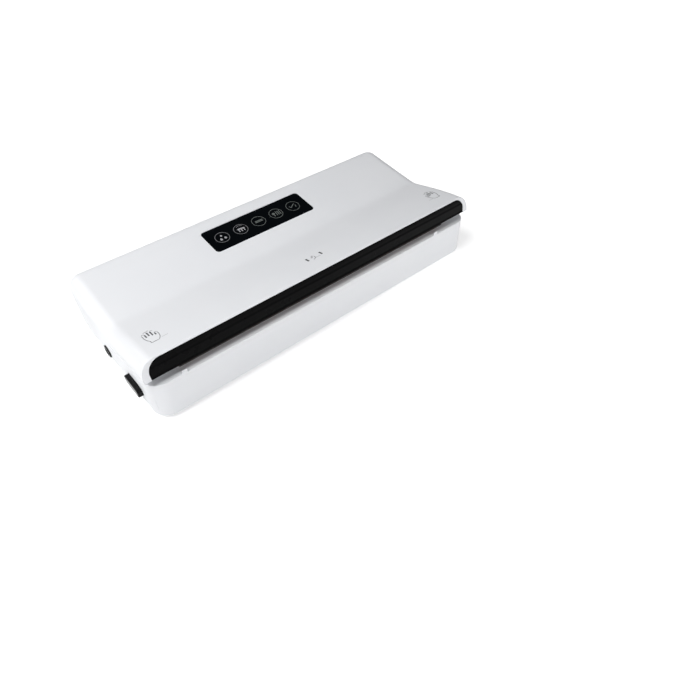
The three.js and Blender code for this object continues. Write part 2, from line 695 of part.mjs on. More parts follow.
// The lid's top line in Y and Z, moved in by an even depth.
function topLine(depth) {
  const steps = 5;
  const points = [];
  const [y0, z0] = LID_FRONT_TOP;
  for (let i = 0; i <= steps; i += 1) {
    const t = i / steps;
    const y = y0 + (VALLEY[0] - 7 - y0) * t;
    const straight = z0 + ((VALLEY[1] - z0) * (y - y0)) / (VALLEY[0] - y0);
    points.push([y, straight + FRONT_CROWN * Math.sin(Math.PI * t) - depth]);
  }
  for (const dy of [-3.5, 0, 3.5, 7]) {
    const rise = dy < 0 ? (LID_FRONT_TOP[1] - VALLEY[1]) / (VALLEY[0] - y0) : Math.tan(SLOPE);
    points.push([VALLEY[0] + dy, VALLEY[1] + 0.7 + Math.abs(dy) * rise * 0.72 - depth]);
  }
  const back = LID_BACK - depth;
  const radius = Math.max(12 - depth, 3);
  const centreY = back - radius;
  const crest = VALLEY[1] + (centreY - VALLEY[0]) * Math.tan(SLOPE) - depth;
  for (let i = 0; i <= 5; i += 1) {
    const angle = (Math.PI / 2 + SLOPE) * (1 - i / 5);
    points.push([centreY + radius * Math.cos(angle), crest - radius + radius * Math.sin(angle)]);
  }
  return points;
}

// The lid's envelope, inset by a wall; its front face leans and its ends are rounded.
function lidBody(inset, frontY) {
  const low = 8;
  const lean = (LID_FRONT_TOP[0] - LID_FRONT_LOW[0]) / (LID_FRONT_TOP[1] - LID_FRONT_LOW[1]);
  const steps = 4;
  const round = LID_ROUND - inset;
  const straight = LID_HALF - LID_ROUND;
  const stations = [];
  for (let i = 0; i <= steps; i += 1) {
    const angle = (Math.PI / 2) * (i / steps);
    stations.push([straight + round * Math.sin(angle), round * (1 - Math.cos(angle))]);
  }
  const faceY = (z) => frontY + (z - LID_FRONT_LOW[1]) * lean + LID_FRONT_LOW[0];
  const all = [...stations.map(([x, drop]) => [-x, drop]).reverse(), ...stations];
  const rings = all.map(([x, drop]) => {
    const [[, topZ], ...line] = topLine(inset + drop);
    const foot = [[LID_BACK - inset - drop, low], [faceY(low), low], [faceY(topZ), topZ]];
    return [...foot, ...line].reverse().map(([y, z]) => [x, y, z]);
  });
  return loft(rings);
}

function lidEdgeProfile() {
  const curve = seamPoints(LID_EDGE, LID_EDGE - LID_BACK_EDGE);
  return [[-20, 90], [-20, LID_EDGE], ...curve, [170, LID_BACK_EDGE], [170, 90]];
}

// Two nested groups: one lies on the rear slope at the panel, the other a given depth below it.
function slopeGroup(depth) {
  const group = new THREE.Group();
  group.position.set(0, PANEL_Y, VALLEY[1] + (PANEL_Y - VALLEY[0]) * Math.tan(SLOPE));
  group.rotation.x = SLOPE;
  group.updateMatrix();
  const lower = new THREE.Group();
  lower.position.z = -depth;
  group.add(lower);
  return [group, lower];
}

function panelShape(grow) {
  const x = PANEL_LENGTH / 2 + grow;
  const y = PANEL_WIDTH / 2 + grow;
  return roundedRect(-x, x, -y, y, 3 + grow);
}

// The space that the front strip fills, less a gap all round.
function frontOpening(gap) {
  const stretch = (STRIP_HALF - gap) / (LID_HALF - LID_RIM - gap);
  const depth = solid(box(-200, 200, -30, 6.5, 0, 90));
  return solid(lidBody(LID_RIM + gap, -20)).scale([stretch, 1, 1]).intersect(depth);
}

function lidShell() {
  const keep = solid(extrudeX(lidEdgeProfile(), -200, 200));
  const outer = solid(lidBody(0, 0)).intersect(keep);
  let body = outer.subtract(solid(lidBody(WALL, -20)));
  body = body.subtract(frontOpening(0));
  // Recess for the touch panel.
  const recess = extrudeZ(panelShape(FIT), -PANEL_THICKNESS - 0.2, 8);
  const [slope] = slopeGroup(0);
  recess.applyMatrix4(slope.matrix);
  const floor = extrudeZ(panelShape(4), -PANEL_THICKNESS - 2, -1);
  floor.applyMatrix4(slope.matrix);
  body = body.add(solid(floor)).subtract(solid(recess));
  const window = extrudeZ(roundedRect(-52, 52, -7, 7, 3), -8, 2);
  window.applyMatrix4(slope.matrix);
  body = body.subtract(solid(window));
  // Ears on the back wall for the hinge pins.
  for (const side of [-1, 1]) {
    const [x0, x1] = side < 0 ? [-LID_EAR[1], -LID_EAR[0]] : LID_EAR;
    body = body.add(hingeEar(x0, x1, LID_BACK - 1));
  }
  body = body.subtract(solid(cylinderX(-172, 172, HINGE_Y, HINGE_Z, PIN_RADIUS + PIN_CLEARANCE)));
  // Posts for the screws that hold the inner panel.
  for (const [x, y] of LID_SCREWS) {
    const low = (y < VALLEY[0] ? LINER_LOW : LINER_HIGH) + LINER_WALL + TOUCH;
    const post = solid(cylinderZ(x, y, low, 70, 3.5, 10)).intersect(solid(lidBody(1, 0)));
    body = body.add(post);
    body = body.subtract(solid(cylinderZ(x, y, low - 1, low + 5, SCREW_SHANK + 0.1, SCREW_SIDES)));
  }
  return part("lid_shell", geometryOf(body), whitePlastic);
}

function frontStrip() {
  const profile = [
    [LID_FRONT_LOW[0] + 0.2, LID_EDGE + 0.2],
    [LID_FRONT_LOW[0] + 3.4, LID_EDGE + 0.2],
    [LID_FRONT_TOP[0] + 1.2, 64],
    [LID_FRONT_TOP[0] - 0.3, 64],
    [LID_FRONT_TOP[0] - 1.4, 57.5],
    [LID_FRONT_LOW[0] + 0.6, 52.5],
    [LID_FRONT_LOW[0] + 0.9, 50.5],
  ];
  const body = solid(extrudeX(profile, -200, 200)).intersect(frontOpening(FIT));
  return part("front_strip", geometryOf(body), blackPlastic);
}

function lidLiner() {
  const profile = [
    [6.6, LINER_LOW],
    [76, LINER_LOW],
    [80, LINER_HIGH],
    [149, LINER_HIGH],
    [149, LINER_HIGH + LINER_WALL],
    [79, LINER_HIGH + LINER_WALL],
    [75, LINER_LOW + LINER_WALL],
    [6.6, LINER_LOW + LINER_WALL],
  ];
  let body = solid(extrudeX(profile, -200, 200)).intersect(solid(lidBody(WALL + FIT, 0)));
  for (const [x, y] of LID_SCREWS) {
    const low = y < VALLEY[0] ? LINER_LOW : LINER_HIGH;
    const shank = cylinderZ(x, y, low - 1, low + 4, SCREW_SHANK + 0.4, SCREW_SIDES);
    const head = cylinderZ(x, y, low - 1, low + 0.7, SCREW_HEAD + 0.4, SCREW_SIDES);
    body = body.subtract(solid(shank)).subtract(solid(head));
  }
  return part("lid_liner", geometryOf(body), innerPlastic);
}

function lidSeals() {
  const press = box(-BAR_HALF, BAR_HALF, 10.5, 17.5, 44.1, LINER_LOW - TOUCH);
  return [
    part("upper_gasket", gasketRing(0, UPPER_GASKET_LOW, LINER_LOW - TOUCH), foam),
    part("press_strip", press, silicone),
  ];
}

function lidCatch(side, label) {
  const plate = box(-184.5, -173.5, LATCH_Y - 7, LATCH_Y + 7, 43.5, LINER_LOW - TOUCH);
  const hook = extrudeY(
    [[-182, 44], [-182, 34], [-181, 33], [-178.5, 33], [-176.5, 34.8], [-176.5, CATCH_LIP_TOP],
      [-179.5, CATCH_LIP_TOP], [-179.5, 44]],
    LATCH_Y - 5, LATCH_Y + 5
  );
  const body = geometryOf(union([plate, hook]));
  return part(`lid_catch_${label}`, mirrored(body, side), innerPlastic);
}

function controlParts() {
  const [panelGroup, panelPlace] = slopeGroup(PANEL_THICKNESS);
  panelPlace.add(part("touch_panel", extrudeZ(panelShape(0), 0, PANEL_THICKNESS), blackGloss));
  const [boardGroup, boardPlace] = slopeGroup(5.6);
  const plate = box(-56, 56, -12, 12, 0, 1.6);
  boardPlace.add(part("control_board", plate, board));
  return [panelGroup, boardGroup];
}

// ---- Assembly ----

const machine = new THREE.Group();
const base = new THREE.Group();
base.add(baseHousing(), bottomCover(), lowerGasket(), hosePort(), ...mainsInlet());
base.add(...heatingParts(), ...pumpParts(), valveParts(), ...hoses(), ...powerParts());
FEET.forEach(([x, y]) => {
  const name = `foot_${y < 80 ? "front" : "back"}_${x < 0 ? "left" : "right"}`;
  base.add(foot(name, x, y));
});
BOTTOM_SCREWS.forEach(([x, y], i) => {
  base.add(screw(`bottom_screw_${i + 1}`, x, y, FLOOR_LOW, 12));
});
for (const [side, label] of [[-1, "left"], [1, "right"]]) {
  base.add(...latchParts(side, label), lidSwitch(side, label));
  const [x0, x1] = side < 0 ? [-174.5, -149.5] : [149.5, 174.5];
  base.add(part(`hinge_pin_${label}`, cylinderX(x0, x1, HINGE_Y, HINGE_Z, PIN_RADIUS), steel));
}

const lid = new THREE.Group();
lid.position.set(0, HINGE_Y, HINGE_Z);
lid.rotation.x = -AJAR;
const shut = new THREE.Group();
shut.position.set(0, -HINGE_Y, -HINGE_Z);
shut.add(lidShell(), frontStrip(), lidLiner(), ...lidSeals(), ...controlParts());
shut.add(lidCatch(-1, "left"), lidCatch(1, "right"));
LID_SCREWS.forEach(([x, y], i) => {
  const low = y < VALLEY[0] ? LINER_LOW : LINER_HIGH;
  shut.add(screw(`lid_screw_${i + 1}`, x, y, low - 0.9, 7));
});
lid.add(shut);

machine.add(base, lid);
machine.position.y = -DEPTH_CENTRE;
machine.updateMatrixWorld(true);

export default machine;
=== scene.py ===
# A countertop vacuum sealer with its lid slightly ajar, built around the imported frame.
# Shapes are drawn in millimetres with Y measured from the base's front face, as the part is
# designed; placing them turns them into the frame's metres. The lid is drawn shut.
import json
import math

import bmesh
import bpy
from mathutils import Matrix, Vector


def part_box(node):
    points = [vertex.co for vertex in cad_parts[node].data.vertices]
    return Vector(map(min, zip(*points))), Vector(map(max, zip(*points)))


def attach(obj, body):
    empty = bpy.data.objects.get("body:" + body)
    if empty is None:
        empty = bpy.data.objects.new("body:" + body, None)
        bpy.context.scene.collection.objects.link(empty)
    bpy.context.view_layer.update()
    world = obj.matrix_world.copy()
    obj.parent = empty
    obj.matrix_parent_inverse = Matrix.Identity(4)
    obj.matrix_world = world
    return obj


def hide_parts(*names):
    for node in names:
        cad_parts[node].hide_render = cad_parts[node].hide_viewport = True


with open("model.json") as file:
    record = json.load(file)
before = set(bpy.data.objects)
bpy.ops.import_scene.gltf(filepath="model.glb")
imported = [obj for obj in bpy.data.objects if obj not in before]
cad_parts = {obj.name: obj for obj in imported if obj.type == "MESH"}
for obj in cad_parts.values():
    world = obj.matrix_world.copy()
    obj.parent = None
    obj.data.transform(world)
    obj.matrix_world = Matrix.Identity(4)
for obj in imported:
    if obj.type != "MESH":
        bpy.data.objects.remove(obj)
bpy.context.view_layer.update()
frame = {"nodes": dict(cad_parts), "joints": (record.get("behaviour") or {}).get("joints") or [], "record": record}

MM = 0.001

# ---- Driving dimensions, from the frame ----
JOINTS = {joint["name"]: joint for joint in frame["joints"]}
HINGE = Vector(JOINTS["lid_hinge"]["pos_m"])
AJAR = math.radians(-JOINTS["lid_hinge"]["range_deg"][0])
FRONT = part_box("base_housing")[0].y
BASE_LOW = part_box("base_housing")[0].z / MM
LID_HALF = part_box("lid_shell")[1].x / MM
HINGE_Y = (HINGE.y - FRONT) / MM
HINGE_Z = HINGE.z / MM


def middle_of(node):
    """Depth and height of a frame node's middle, in millimetres."""
    low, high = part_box(node)
    return ((low.y + high.y) / 2 - FRONT) / MM, (low.z + high.z) / 2 / MM


PLACE_BASE = Matrix.Translation((0, FRONT, 0)) @ Matrix.Scale(MM, 4)
TURN_LID = (
    Matrix.Translation(HINGE) @ Matrix.Rotation(-AJAR, 4, "X") @ Matrix.Translation(-HINGE)
)
PLACE_LID = TURN_LID @ PLACE_BASE

# ---- Dimensions of the mouldings ----
BASE_HALF = 190.5
BASE_DEPTH = 161.0
DECK = 42.7
LEDGE = 14.5
WALL = 2.5
FIT = 0.3
FRONT_CORNER = 16
BACK_CORNER = 13
CORNER_STEPS = 12
SEAM_START = 18
SEAM_END = 150
SIDE_INSET = 4.5
REAR_START = 80
REAR_WALL = 148
REAR_TOP = 46.5
REAR_EDGE = 4
BASE_EDGE = 0.8

LID_ROUND = 14
LID_EDGE = 43.2
LID_BACK = 161.5
LID_BACK_EDGE = 17
LID_FACE_LOW = 2
LID_FACE_TOP = 5
LID_TOP = 61.8
LID_RIM = 1.2
RIM_FILLET = 1.1
STRIP_HALF = 185.2
STRIP_DEPTH = 6.5
VALLEY_Y = 77.7
VALLEY_Z = 51.7
VALLEY_SOFT = 2.6
SLOPE = math.atan2(65.8 - VALLEY_Z, 154 - VALLEY_Y)
CROWN = 1.4
BACK_ROLL = 12

CHAMBER_HALF = 150
CHAMBER_FRONT = 29
CHAMBER_BACK = 67
CHAMBER_FLOOR = 29
CHAMBER_RADIUS = 6.5
BED_FRONT = 7.6
BED_BACK = 74.8
GASKET_HALF = 158
GASKET_FRONT = 23
GASKET_BACK = 73
GASKET_WIDTH = 4.2
GASKET_RADIUS = 12
LOWER_SEAL_TOP = 43.4
UPPER_SEAL_LOW = 43.9
BAR_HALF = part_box("heating_bar")[1].x / MM
BAR_FRONT = 9.5
BAR_BACK = 18.5
BAR_TOP = 43
LINER_LOW = 45.2
TAB_LEFT, TAB_RIGHT = -158.5, 140.6
TAB_HALF = 2.5
BASE_EARS = ((150, 154), (170, 174))
LID_EAR = (155, 169)
CATCH_X = 179

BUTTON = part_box("release_button_left")
LATCH_Y, LATCH_Z = middle_of("release_button_left")
BUTTON_HALF = (BUTTON[1].y - BUTTON[0].y) / 2 / MM
BUTTON_HALF_HEIGHT = (BUTTON[1].z - BUTTON[0].z) / 2 / MM
BUTTON_FACE = -BUTTON[0].x / MM
BUTTON_CORNER = 3
PORT_Y, PORT_Z = middle_of("hose_port")
PORT_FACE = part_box("hose_port")[0].x / MM
PORT_BODY = 6.4
PORT_BORE = 4
INLET_Y, INLET_Z = middle_of("mains_inlet")
INLET_HALF = 11
INLET_HALF_HEIGHT = 6

PANEL_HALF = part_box("touch_panel")[1].x / MM
PANEL_HALF_WIDTH = 16.8
PANEL_THICK = 1.2
PANEL_CORNER = 3.8
PANEL_Y = 119.7
KEY_PITCH = 22
KEY_RADIUS = 7.4
HAND_X = 166.6
HAND_Y = 33.2


# ---- Materials ----
def principled(made):
    return made.node_tree.nodes["Principled BSDF"]


def material(name, color, roughness, metallic=0.0, **sockets):
    """A Principled material; the colour and the numbers are set on the shader's own sockets."""
    made = bpy.data.materials.new(name)
    made.use_nodes = True
    shader = principled(made)
    shader.inputs["Base Color"].default_value = (*color, 1)
    shader.inputs["Roughness"].default_value = roughness
    shader.inputs["Metallic"].default_value = metallic
    for socket, value in sockets.items():
        shader.inputs[socket.replace("_", " ")].default_value = value
    return made


def add(made, kind, **values):
    """A node of the given kind; values are its properties or the defaults of its sockets."""
    node = made.node_tree.nodes.new(kind)
    for name, value in values.items():
        if hasattr(node, name):
            setattr(node, name, value)
        else:
            node.inputs[name.replace("_", " ")].default_value = value
    return node


def join(made, source, output, target, socket):
    made.node_tree.links.new(source.outputs[output], target.inputs[socket])


def place(made, stretch=(1, 1, 1)):
    """Object coordinates, stretched along an axis for brushed or woven looks."""
    coordinates = add(made, "ShaderNodeTexCoord")
    mapping = add(made, "ShaderNodeMapping")
    mapping.inputs["Scale"].default_value = stretch
    join(made, coordinates, "Object", mapping, "Vector")
    return mapping


def noise(made, scale, detail, stretch=(1, 1, 1)):
    texture = add(made, "ShaderNodeTexNoise", Scale=scale, Detail=detail)
    join(made, place(made, stretch), "Vector", texture, "Vector")
    return texture


def vary_roughness(made, low, high, scale, detail=5.0, stretch=(1, 1, 1)):
    """Gloss that changes slowly between two levels."""
    spread = add(made, "ShaderNodeMapRange", To_Min=low, To_Max=high)
    spread.inputs["From Min"].default_value = 0.3
    spread.inputs["From Max"].default_value = 0.7
    join(made, noise(made, scale, detail, stretch), "Fac", spread, "Value")
    join(made, spread, "Result", principled(made), "Roughness")


def vary_color(made, dark, light, scale):
    """Colour that changes slowly between two shades."""
    ramp = add(made, "ShaderNodeValToRGB")
    ramp.color_ramp.elements[0].position = 0.3
    ramp.color_ramp.elements[0].color = (*dark, 1)
    ramp.color_ramp.elements[1].position = 0.7
    ramp.color_ramp.elements[1].color = (*light, 1)
    join(made, noise(made, scale, 3.0), "Fac", ramp, "Fac")
    join(made, ramp, "Color", principled(made), "Base Color")


def bump(made, texture, output, strength, distance):
    relief = add(made, "ShaderNodeBump", Strength=strength, Distance=distance)
    join(made, texture, output, relief, "Height")
    join(made, relief, "Normal", principled(made), "Normal")


def moulded(name, dark, light, roughness, grain, depth, **sockets):
    """Moulded plastic: a fine spark-eroded grain, and slow changes of colour and gloss."""
    made = material(name, light, roughness, **sockets)
    vary_color(made, dark, light, 14)
    vary_roughness(made, roughness - 0.05, roughness + 0.06, 60)
    bump(made, noise(made, grain, 2), "Fac", 0.18, depth)
    return made


def white_shell():
    return moulded(
        "white_abs", (0.775, 0.787, 0.812), (0.80, 0.81, 0.832), 0.42, 2600, 0.00004,
        Specular_IOR_Level=0.35,
    )


def inner_white():
    return moulded(
        "inner_abs", (0.70, 0.71, 0.73), (0.745, 0.755, 0.77), 0.5, 1800, 0.00006,
        Specular_IOR_Level=0.4,
    )


def black_trim():
    return moulded(
        "black_abs", (0.0016, 0.0016, 0.0018), (0.0026, 0.0027, 0.003), 0.3, 2200, 0.00004, IOR=1.12
    )


def button_black():
    return moulded(
        "button_abs", (0.0016, 0.0016, 0.0018), (0.003, 0.003, 0.0034), 0.2, 2200, 0.00001, IOR=1.24
    )


def black_inner():
    return moulded(
        "inner_black", (0.012, 0.012, 0.013), (0.022, 0.022, 0.024), 0.5, 1500, 0.00006
    )


def panel_gloss():
    made = material("panel_acrylic", (0.002, 0.003, 0.004), 0.06, IOR=1.25)
    vary_color(made, (0.0015, 0.0022, 0.003), (0.0028, 0.0036, 0.0046), 30)
    vary_roughness(made, 0.04, 0.09, 90)
    return made


def print_ink(name, dark, light):
    """Printed marks: flat ink with the slight unevenness of a pad print."""
    made = material(name, light, 0.55, Specular_IOR_Level=0.3)
    vary_color(made, dark, light, 900)
    vary_roughness(made, 0.48, 0.62, 700)
    return made


def foam():
    made = material("foam", (0.02, 0.02, 0.022), 0.9, Specular_IOR_Level=0.25)
    vary_color(made, (0.010, 0.010, 0.011), (0.030, 0.030, 0.033), 900)
    cells = add(made, "ShaderNodeTexVoronoi", Scale=1500.0)
    join(made, place(made), "Vector", cells, "Vector")
    bump(made, cells, "Distance", 0.6, 0.0002)
    return made


def silicone():
    made = material(
        "silicone", (0.42, 0.09, 0.045), 0.55, Subsurface_Weight=0.12, Subsurface_Scale=0.002
    )
    vary_color(made, (0.36, 0.075, 0.038), (0.46, 0.10, 0.05), 120)
    vary_roughness(made, 0.48, 0.62, 400)
    ribs = add(made, "ShaderNodeTexWave", Scale=420.0, Distortion=0.0)
    join(made, place(made), "Vector", ribs, "Vector")
    bump(made, ribs, "Fac", 0.25, 0.0001)
    return made


def sealing_cloth():
    """Slick glass cloth: crossed threads under a black coating."""
    made = material("glass_cloth", (0.016, 0.012, 0.010), 0.38, Coat_Weight=0.2, Coat_Roughness=0.35)
    weave = []
    for turn in (0, math.pi / 2):
        threads = add(made, "ShaderNodeTexWave", Scale=1100.0, Distortion=0.3)
        mapping = place(made)
        mapping.inputs["Rotation"].default_value = (0, 0, turn)
        join(made, mapping, "Vector", threads, "Vector")
        weave.append(threads)
    cross = add(made, "ShaderNodeMath", operation="MAXIMUM")
    join(made, weave[0], "Fac", cross, 0)
    join(made, weave[1], "Fac", cross, 1)
    ramp = add(made, "ShaderNodeValToRGB")
    ramp.color_ramp.elements[0].color = (0.010, 0.008, 0.007, 1)
    ramp.color_ramp.elements[1].color = (0.026, 0.020, 0.016, 1)
    join(made, cross, "Value", ramp, "Fac")
    join(made, ramp, "Color", principled(made), "Base Color")
    bump(made, cross, "Value", 0.4, 0.00008)
    return made


def metal(name, dark, light, low, high, stretch, scale=500):
    """Metal with a fine grain drawn out along one axis."""
    made = material(name, light, (low + high) / 2, 1.0)
    vary_color(made, dark, light, 40)
    vary_roughness(made, low, high, scale, 6, stretch)
    bump(made, noise(made, scale, 6, stretch), "Fac", 0.12, 0.00004)
    return made


def steel():
    return metal("zinc_steel", (0.50, 0.51, 0.53), (0.64, 0.65, 0.67), 0.22, 0.4, (1, 1, 1), 1200)


def aluminium():
    return metal("extruded_aluminium", (0.62, 0.63, 0.65), (0.76, 0.77, 0.79), 0.25, 0.45, (0.03, 1, 1))


def circuit_board():
    """Solder mask over a grid of tracks and pads."""
    made = material("solder_mask", (0.02, 0.12, 0.05), 0.3, Coat_Weight=0.4, Coat_Roughness=0.15)
    tracks = add(made, "ShaderNodeTexBrick", Scale=90.0)
    tracks.inputs["Color1"].default_value = (0.014, 0.10, 0.04, 1)
    tracks.inputs["Color2"].default_value = (0.022, 0.14, 0.06, 1)
    tracks.inputs["Mortar"].default_value = (0.05, 0.26, 0.11, 1)
    tracks.inputs["Mortar Size"].default_value = 0.03
    join(made, place(made), "Vector", tracks, "Vector")
    join(made, tracks, "Color", principled(made), "Base Color")
    bump(made, tracks, "Fac", 0.2, 0.00005)
    return made


def clear_hose():
    made = material("clear_tube", (0.86, 0.90, 0.90), 0.18, Transmission_Weight=0.65, IOR=1.42)
    vary_roughness(made, 0.12, 0.26, 150)
    bump(made, noise(made, 300, 2), "Fac", 0.1, 0.0001)
    return made


def foot_rubber():
    return moulded("foot_rubber", (0.020, 0.020, 0.022), (0.034, 0.034, 0.037), 0.8, 900, 0.0001)


def pale_floor():
    """A light table that glows, least beside the object's left end, where the lamps are brightest."""
    made = material("pale_floor", (0.84, 0.84, 0.84), 0.8, Specular_IOR_Level=0.1)
    shader = principled(made)
    shader.inputs["Emission Color"].default_value = (1, 1, 1, 1)
    reach = add(made, "ShaderNodeVectorMath", operation="LENGTH")
    spot = place(made)
    spot.inputs["Location"].default_value = (0.22, 0, 0)
    join(made, spot, "Vector", reach, 0)
    glow = add(made, "ShaderNodeMapRange", interpolation_type="SMOOTHSTEP")
    glow.inputs["From Min"].default_value = 0.1
    glow.inputs["From Max"].default_value = 0.9
    glow.inputs["To Min"].default_value = 0.32
    glow.inputs["To Max"].default_value = 1.05
    join(made, reach, "Value", glow, "Value")
    join(made, glow, "Result", shader, "Emission Strength")
    return made


def coil_tape():
    made = material("coil_tape", (0.70, 0.46, 0.07), 0.42, Coat_Weight=0.3)
    vary_color(made, (0.60, 0.38, 0.05), (0.76, 0.52, 0.10), 70)
    layers = add(made, "ShaderNodeTexWave", Scale=260.0, bands_direction="Z", Distortion=0.4)
    join(made, place(made), "Vector", layers, "Vector")
    bump(made, layers, "Fac", 0.35, 0.0001)
    return made


LOOKS = {
    look.__name__: look() for look in (
        white_shell, inner_white, black_trim, panel_gloss, foam, silicone, sealing_cloth, steel,
        aluminium, circuit_board, clear_hose, foot_rubber, black_inner, coil_tape,
    )
}
BUTTON_LOOK = button_black()
INK_DARK = print_ink("grey_ink", (0.055, 0.057, 0.062), (0.085, 0.087, 0.093))
INK_BLACK = print_ink("black_ink", (0.022, 0.023, 0.026), (0.04, 0.041, 0.045))
INK_GREY = print_ink("middle_ink", (0.24, 0.245, 0.26), (0.30, 0.305, 0.32))
INK_FAINT = print_ink("faint_ink", (0.42, 0.425, 0.44), (0.50, 0.505, 0.52))
INK_LIGHT = print_ink("light_ink", (0.30, 0.30, 0.315), (0.40, 0.40, 0.42))
INK_RING = print_ink("ring_ink", (0.16, 0.162, 0.17), (0.21, 0.212, 0.22))
INK_DIM = print_ink("dim_ink", (0.105, 0.118, 0.112), (0.155, 0.17, 0.162))


# ---- Tools for meshes ----
def raw_object(name, points, faces, placing=PLACE_BASE):
    """An object with merged corners and outward normals, in the frame's metres."""
    mesh = bpy.data.meshes.new(name)
    mesh.from_pydata([placing @ Vector(p) for p in points], [], faces)
    made = bpy.data.objects.new(name, mesh)
    bpy.context.scene.collection.objects.link(made)
    clean(made)
    return made


def clean(made):
    gap = 2e-6
    edit = bmesh.new()
    edit.from_mesh(made.data)
    bmesh.ops.remove_doubles(edit, verts=edit.verts, dist=gap)
    bmesh.ops.dissolve_degenerate(edit, edges=edit.edges, dist=gap)
    bmesh.ops.recalc_face_normals(edit, faces=edit.faces)
    edit.to_mesh(made.data)
    edit.free()


def apply_modifiers(made):
    bpy.context.view_layer.update()
    graph = bpy.context.evaluated_depsgraph_get()
    mesh = bpy.data.meshes.new_from_object(made.evaluated_get(graph))
    made.modifiers.clear()
    made.data = mesh
    return made


def boolean(made, operation, *tools):
    """Cuts tools from made, or joins them to it, one after the other, and deletes them."""
    for tool in tools:
        step = made.modifiers.new("step", "BOOLEAN")
        step.operation = operation
        step.solver = "EXACT"
        step.object = tool
        apply_modifiers(made)
        bpy.data.objects.remove(tool)
    return made


def bevel(made, width, segments, angle):
    """Rounds the edges sharper than angle; width in millimetres."""
    edge = made.modifiers.new("edge", "BEVEL")
    edge.width = width * MM
    edge.segments = segments
    edge.limit_method = "ANGLE"
    edge.angle_limit = math.radians(angle)
    edge.miter_outer = "MITER_ARC"
    return made


def smooth(made, angle):
    made.data.shade_smooth()
    made.data.set_sharp_from_angle(angle=math.radians(angle))
    weighted = made.modifiers.new("normals", "WEIGHTED_NORMAL")
    weighted.keep_sharp = True
    return made


def finished(made, body, slot, replaces=(), look=None, angle=32):
    """Shades the piece, gives it its material, and has it move with its body."""
    smooth(made, angle)
    made.data.materials.clear()
    made.data.materials.append(look or LOOKS[slot])
    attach(made, body)
    if replaces:
        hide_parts(*replaces)
    return made


def loop_mesh(loops, closed=False, caps=True):
    """Points and faces of a body through loops of equal length; closed joins the last to the first."""
    count = len(loops[0])
    points = [p for loop in loops for p in loop]
    faces = []
    spans = len(loops) if closed else len(loops) - 1
    for i in range(spans):
        for j in range(count):
            a, b = i * count, ((i + 1) % len(loops)) * count
            k = (j + 1) % count
            faces.append((a + j, a + k, b + k, b + j))
    if caps and not closed:
        faces.append(tuple(range(count))[::-1])
        faces.append(tuple(range(count * (len(loops) - 1), count * len(loops))))
    return points, faces


def arc(cx, cy, radius, start, end, steps):
    """Points on an arc; angles in degrees."""
    turn = [math.radians(start + (end - start) * i / steps) for i in range(steps + 1)]
    return [(cx + radius * math.cos(t), cy + radius * math.sin(t)) for t in turn]


def rounded_rect(x0, x1, y0, y1, radius, steps):
    radius = max(radius, 0.05)
    return (
        arc(x1 - radius, y0 + radius, radius, -90, 0, steps)
        + arc(x1 - radius, y1 - radius, radius, 0, 90, steps)
        + arc(x0 + radius, y1 - radius, radius, 90, 180, steps)
        + arc(x0 + radius, y0 + radius, radius, 180, 270, steps)
    )


def inset_rect(box, inset, radius, steps):
    x0, x1, y0, y1 = box
    return rounded_rect(x0 + inset, x1 - inset, y0 + inset, y1 - inset, radius - inset, steps)


def stacked(box, radius, layers, steps=8):
    """Loops of a rounded rectangle, one for each (inset, height)."""
    return [
        [(x, y, z) for x, y in inset_rect(box, inset, radius, steps)] for inset, z in layers
    ]


def along_x(loops):
    """Turns loops drawn in (Y, Z) with height along X into frame points."""
    return [[(h, u, v) for u, v, h in loop] for loop in loops]


def lathe(profile, steps):
    """Loops about Z, one for each (radius, height)."""
    return [
        [
            (r * math.cos(2 * math.pi * j / steps), r * math.sin(2 * math.pi * j / steps), h)
            for j in range(steps)
        ]
        for r, h in profile
    ]


def block(name, box, radius, layers, steps=8, placing=PLACE_BASE):
    """A body with a rounded rectangular plan, built up of (inset, height) layers."""
    return raw_object(name, *loop_mesh(stacked(box, radius, layers, steps)), placing)


def cut_box(name, x0, x1, y0, y1, z0, z1, placing=PLACE_BASE):
    return block(name, (x0, x1, y0, y1), 0.05, [(0, z0), (0, z1)], 1, placing)


def turned_x(name, profile, y, z, steps, closed):
    """A body turned about an axis along X at depth y and height z."""
    loops = [[(h, y + v, z + u) for u, v, h in loop] for loop in lathe(profile, steps)]
    return raw_object(name, *loop_mesh(loops, closed))


# ---- The base housing ----
def seam(y, top=DECK, drop=DECK - LEDGE):
    """Height of the wavy line between base and lid at depth y."""
    t = min(max((y - SEAM_START) / (SEAM_END - SEAM_START), 0), 1)
    return top - drop * t * t * (3 - 2 * t)


def raised(y):
    """Height of the deck, and behind it of the raised part over the pump."""
    if y <= REAR_START:
        return DECK
    if y <= REAR_START + REAR_EDGE:
        return DECK + (REAR_TOP - DECK) * (y - REAR_START) / REAR_EDGE
    if y <= REAR_WALL - REAR_EDGE:
        return REAR_TOP
    return REAR_TOP - (y - REAR_WALL + REAR_EDGE)


def half_plan(inset):
    """Right half of the base's outline from front to back."""
    x = BASE_HALF - inset
    front, back = FRONT_CORNER - inset, BACK_CORNER - inset
    chain = arc(x - front, inset + front, front, -90, 0, CORNER_STEPS)
    sides = [FRONT_CORNER + (REAR_WALL - FRONT_CORNER) * i / 60 for i in range(1, 60)]
    sides += [REAR_START, REAR_START + REAR_EDGE, REAR_WALL - REAR_EDGE, REAR_WALL]
    chain += [(x, y) for y in sorted(sides)]
    chain += arc(x - back, BASE_DEPTH - inset - back, back, 0, 90, CORNER_STEPS)
    return chain


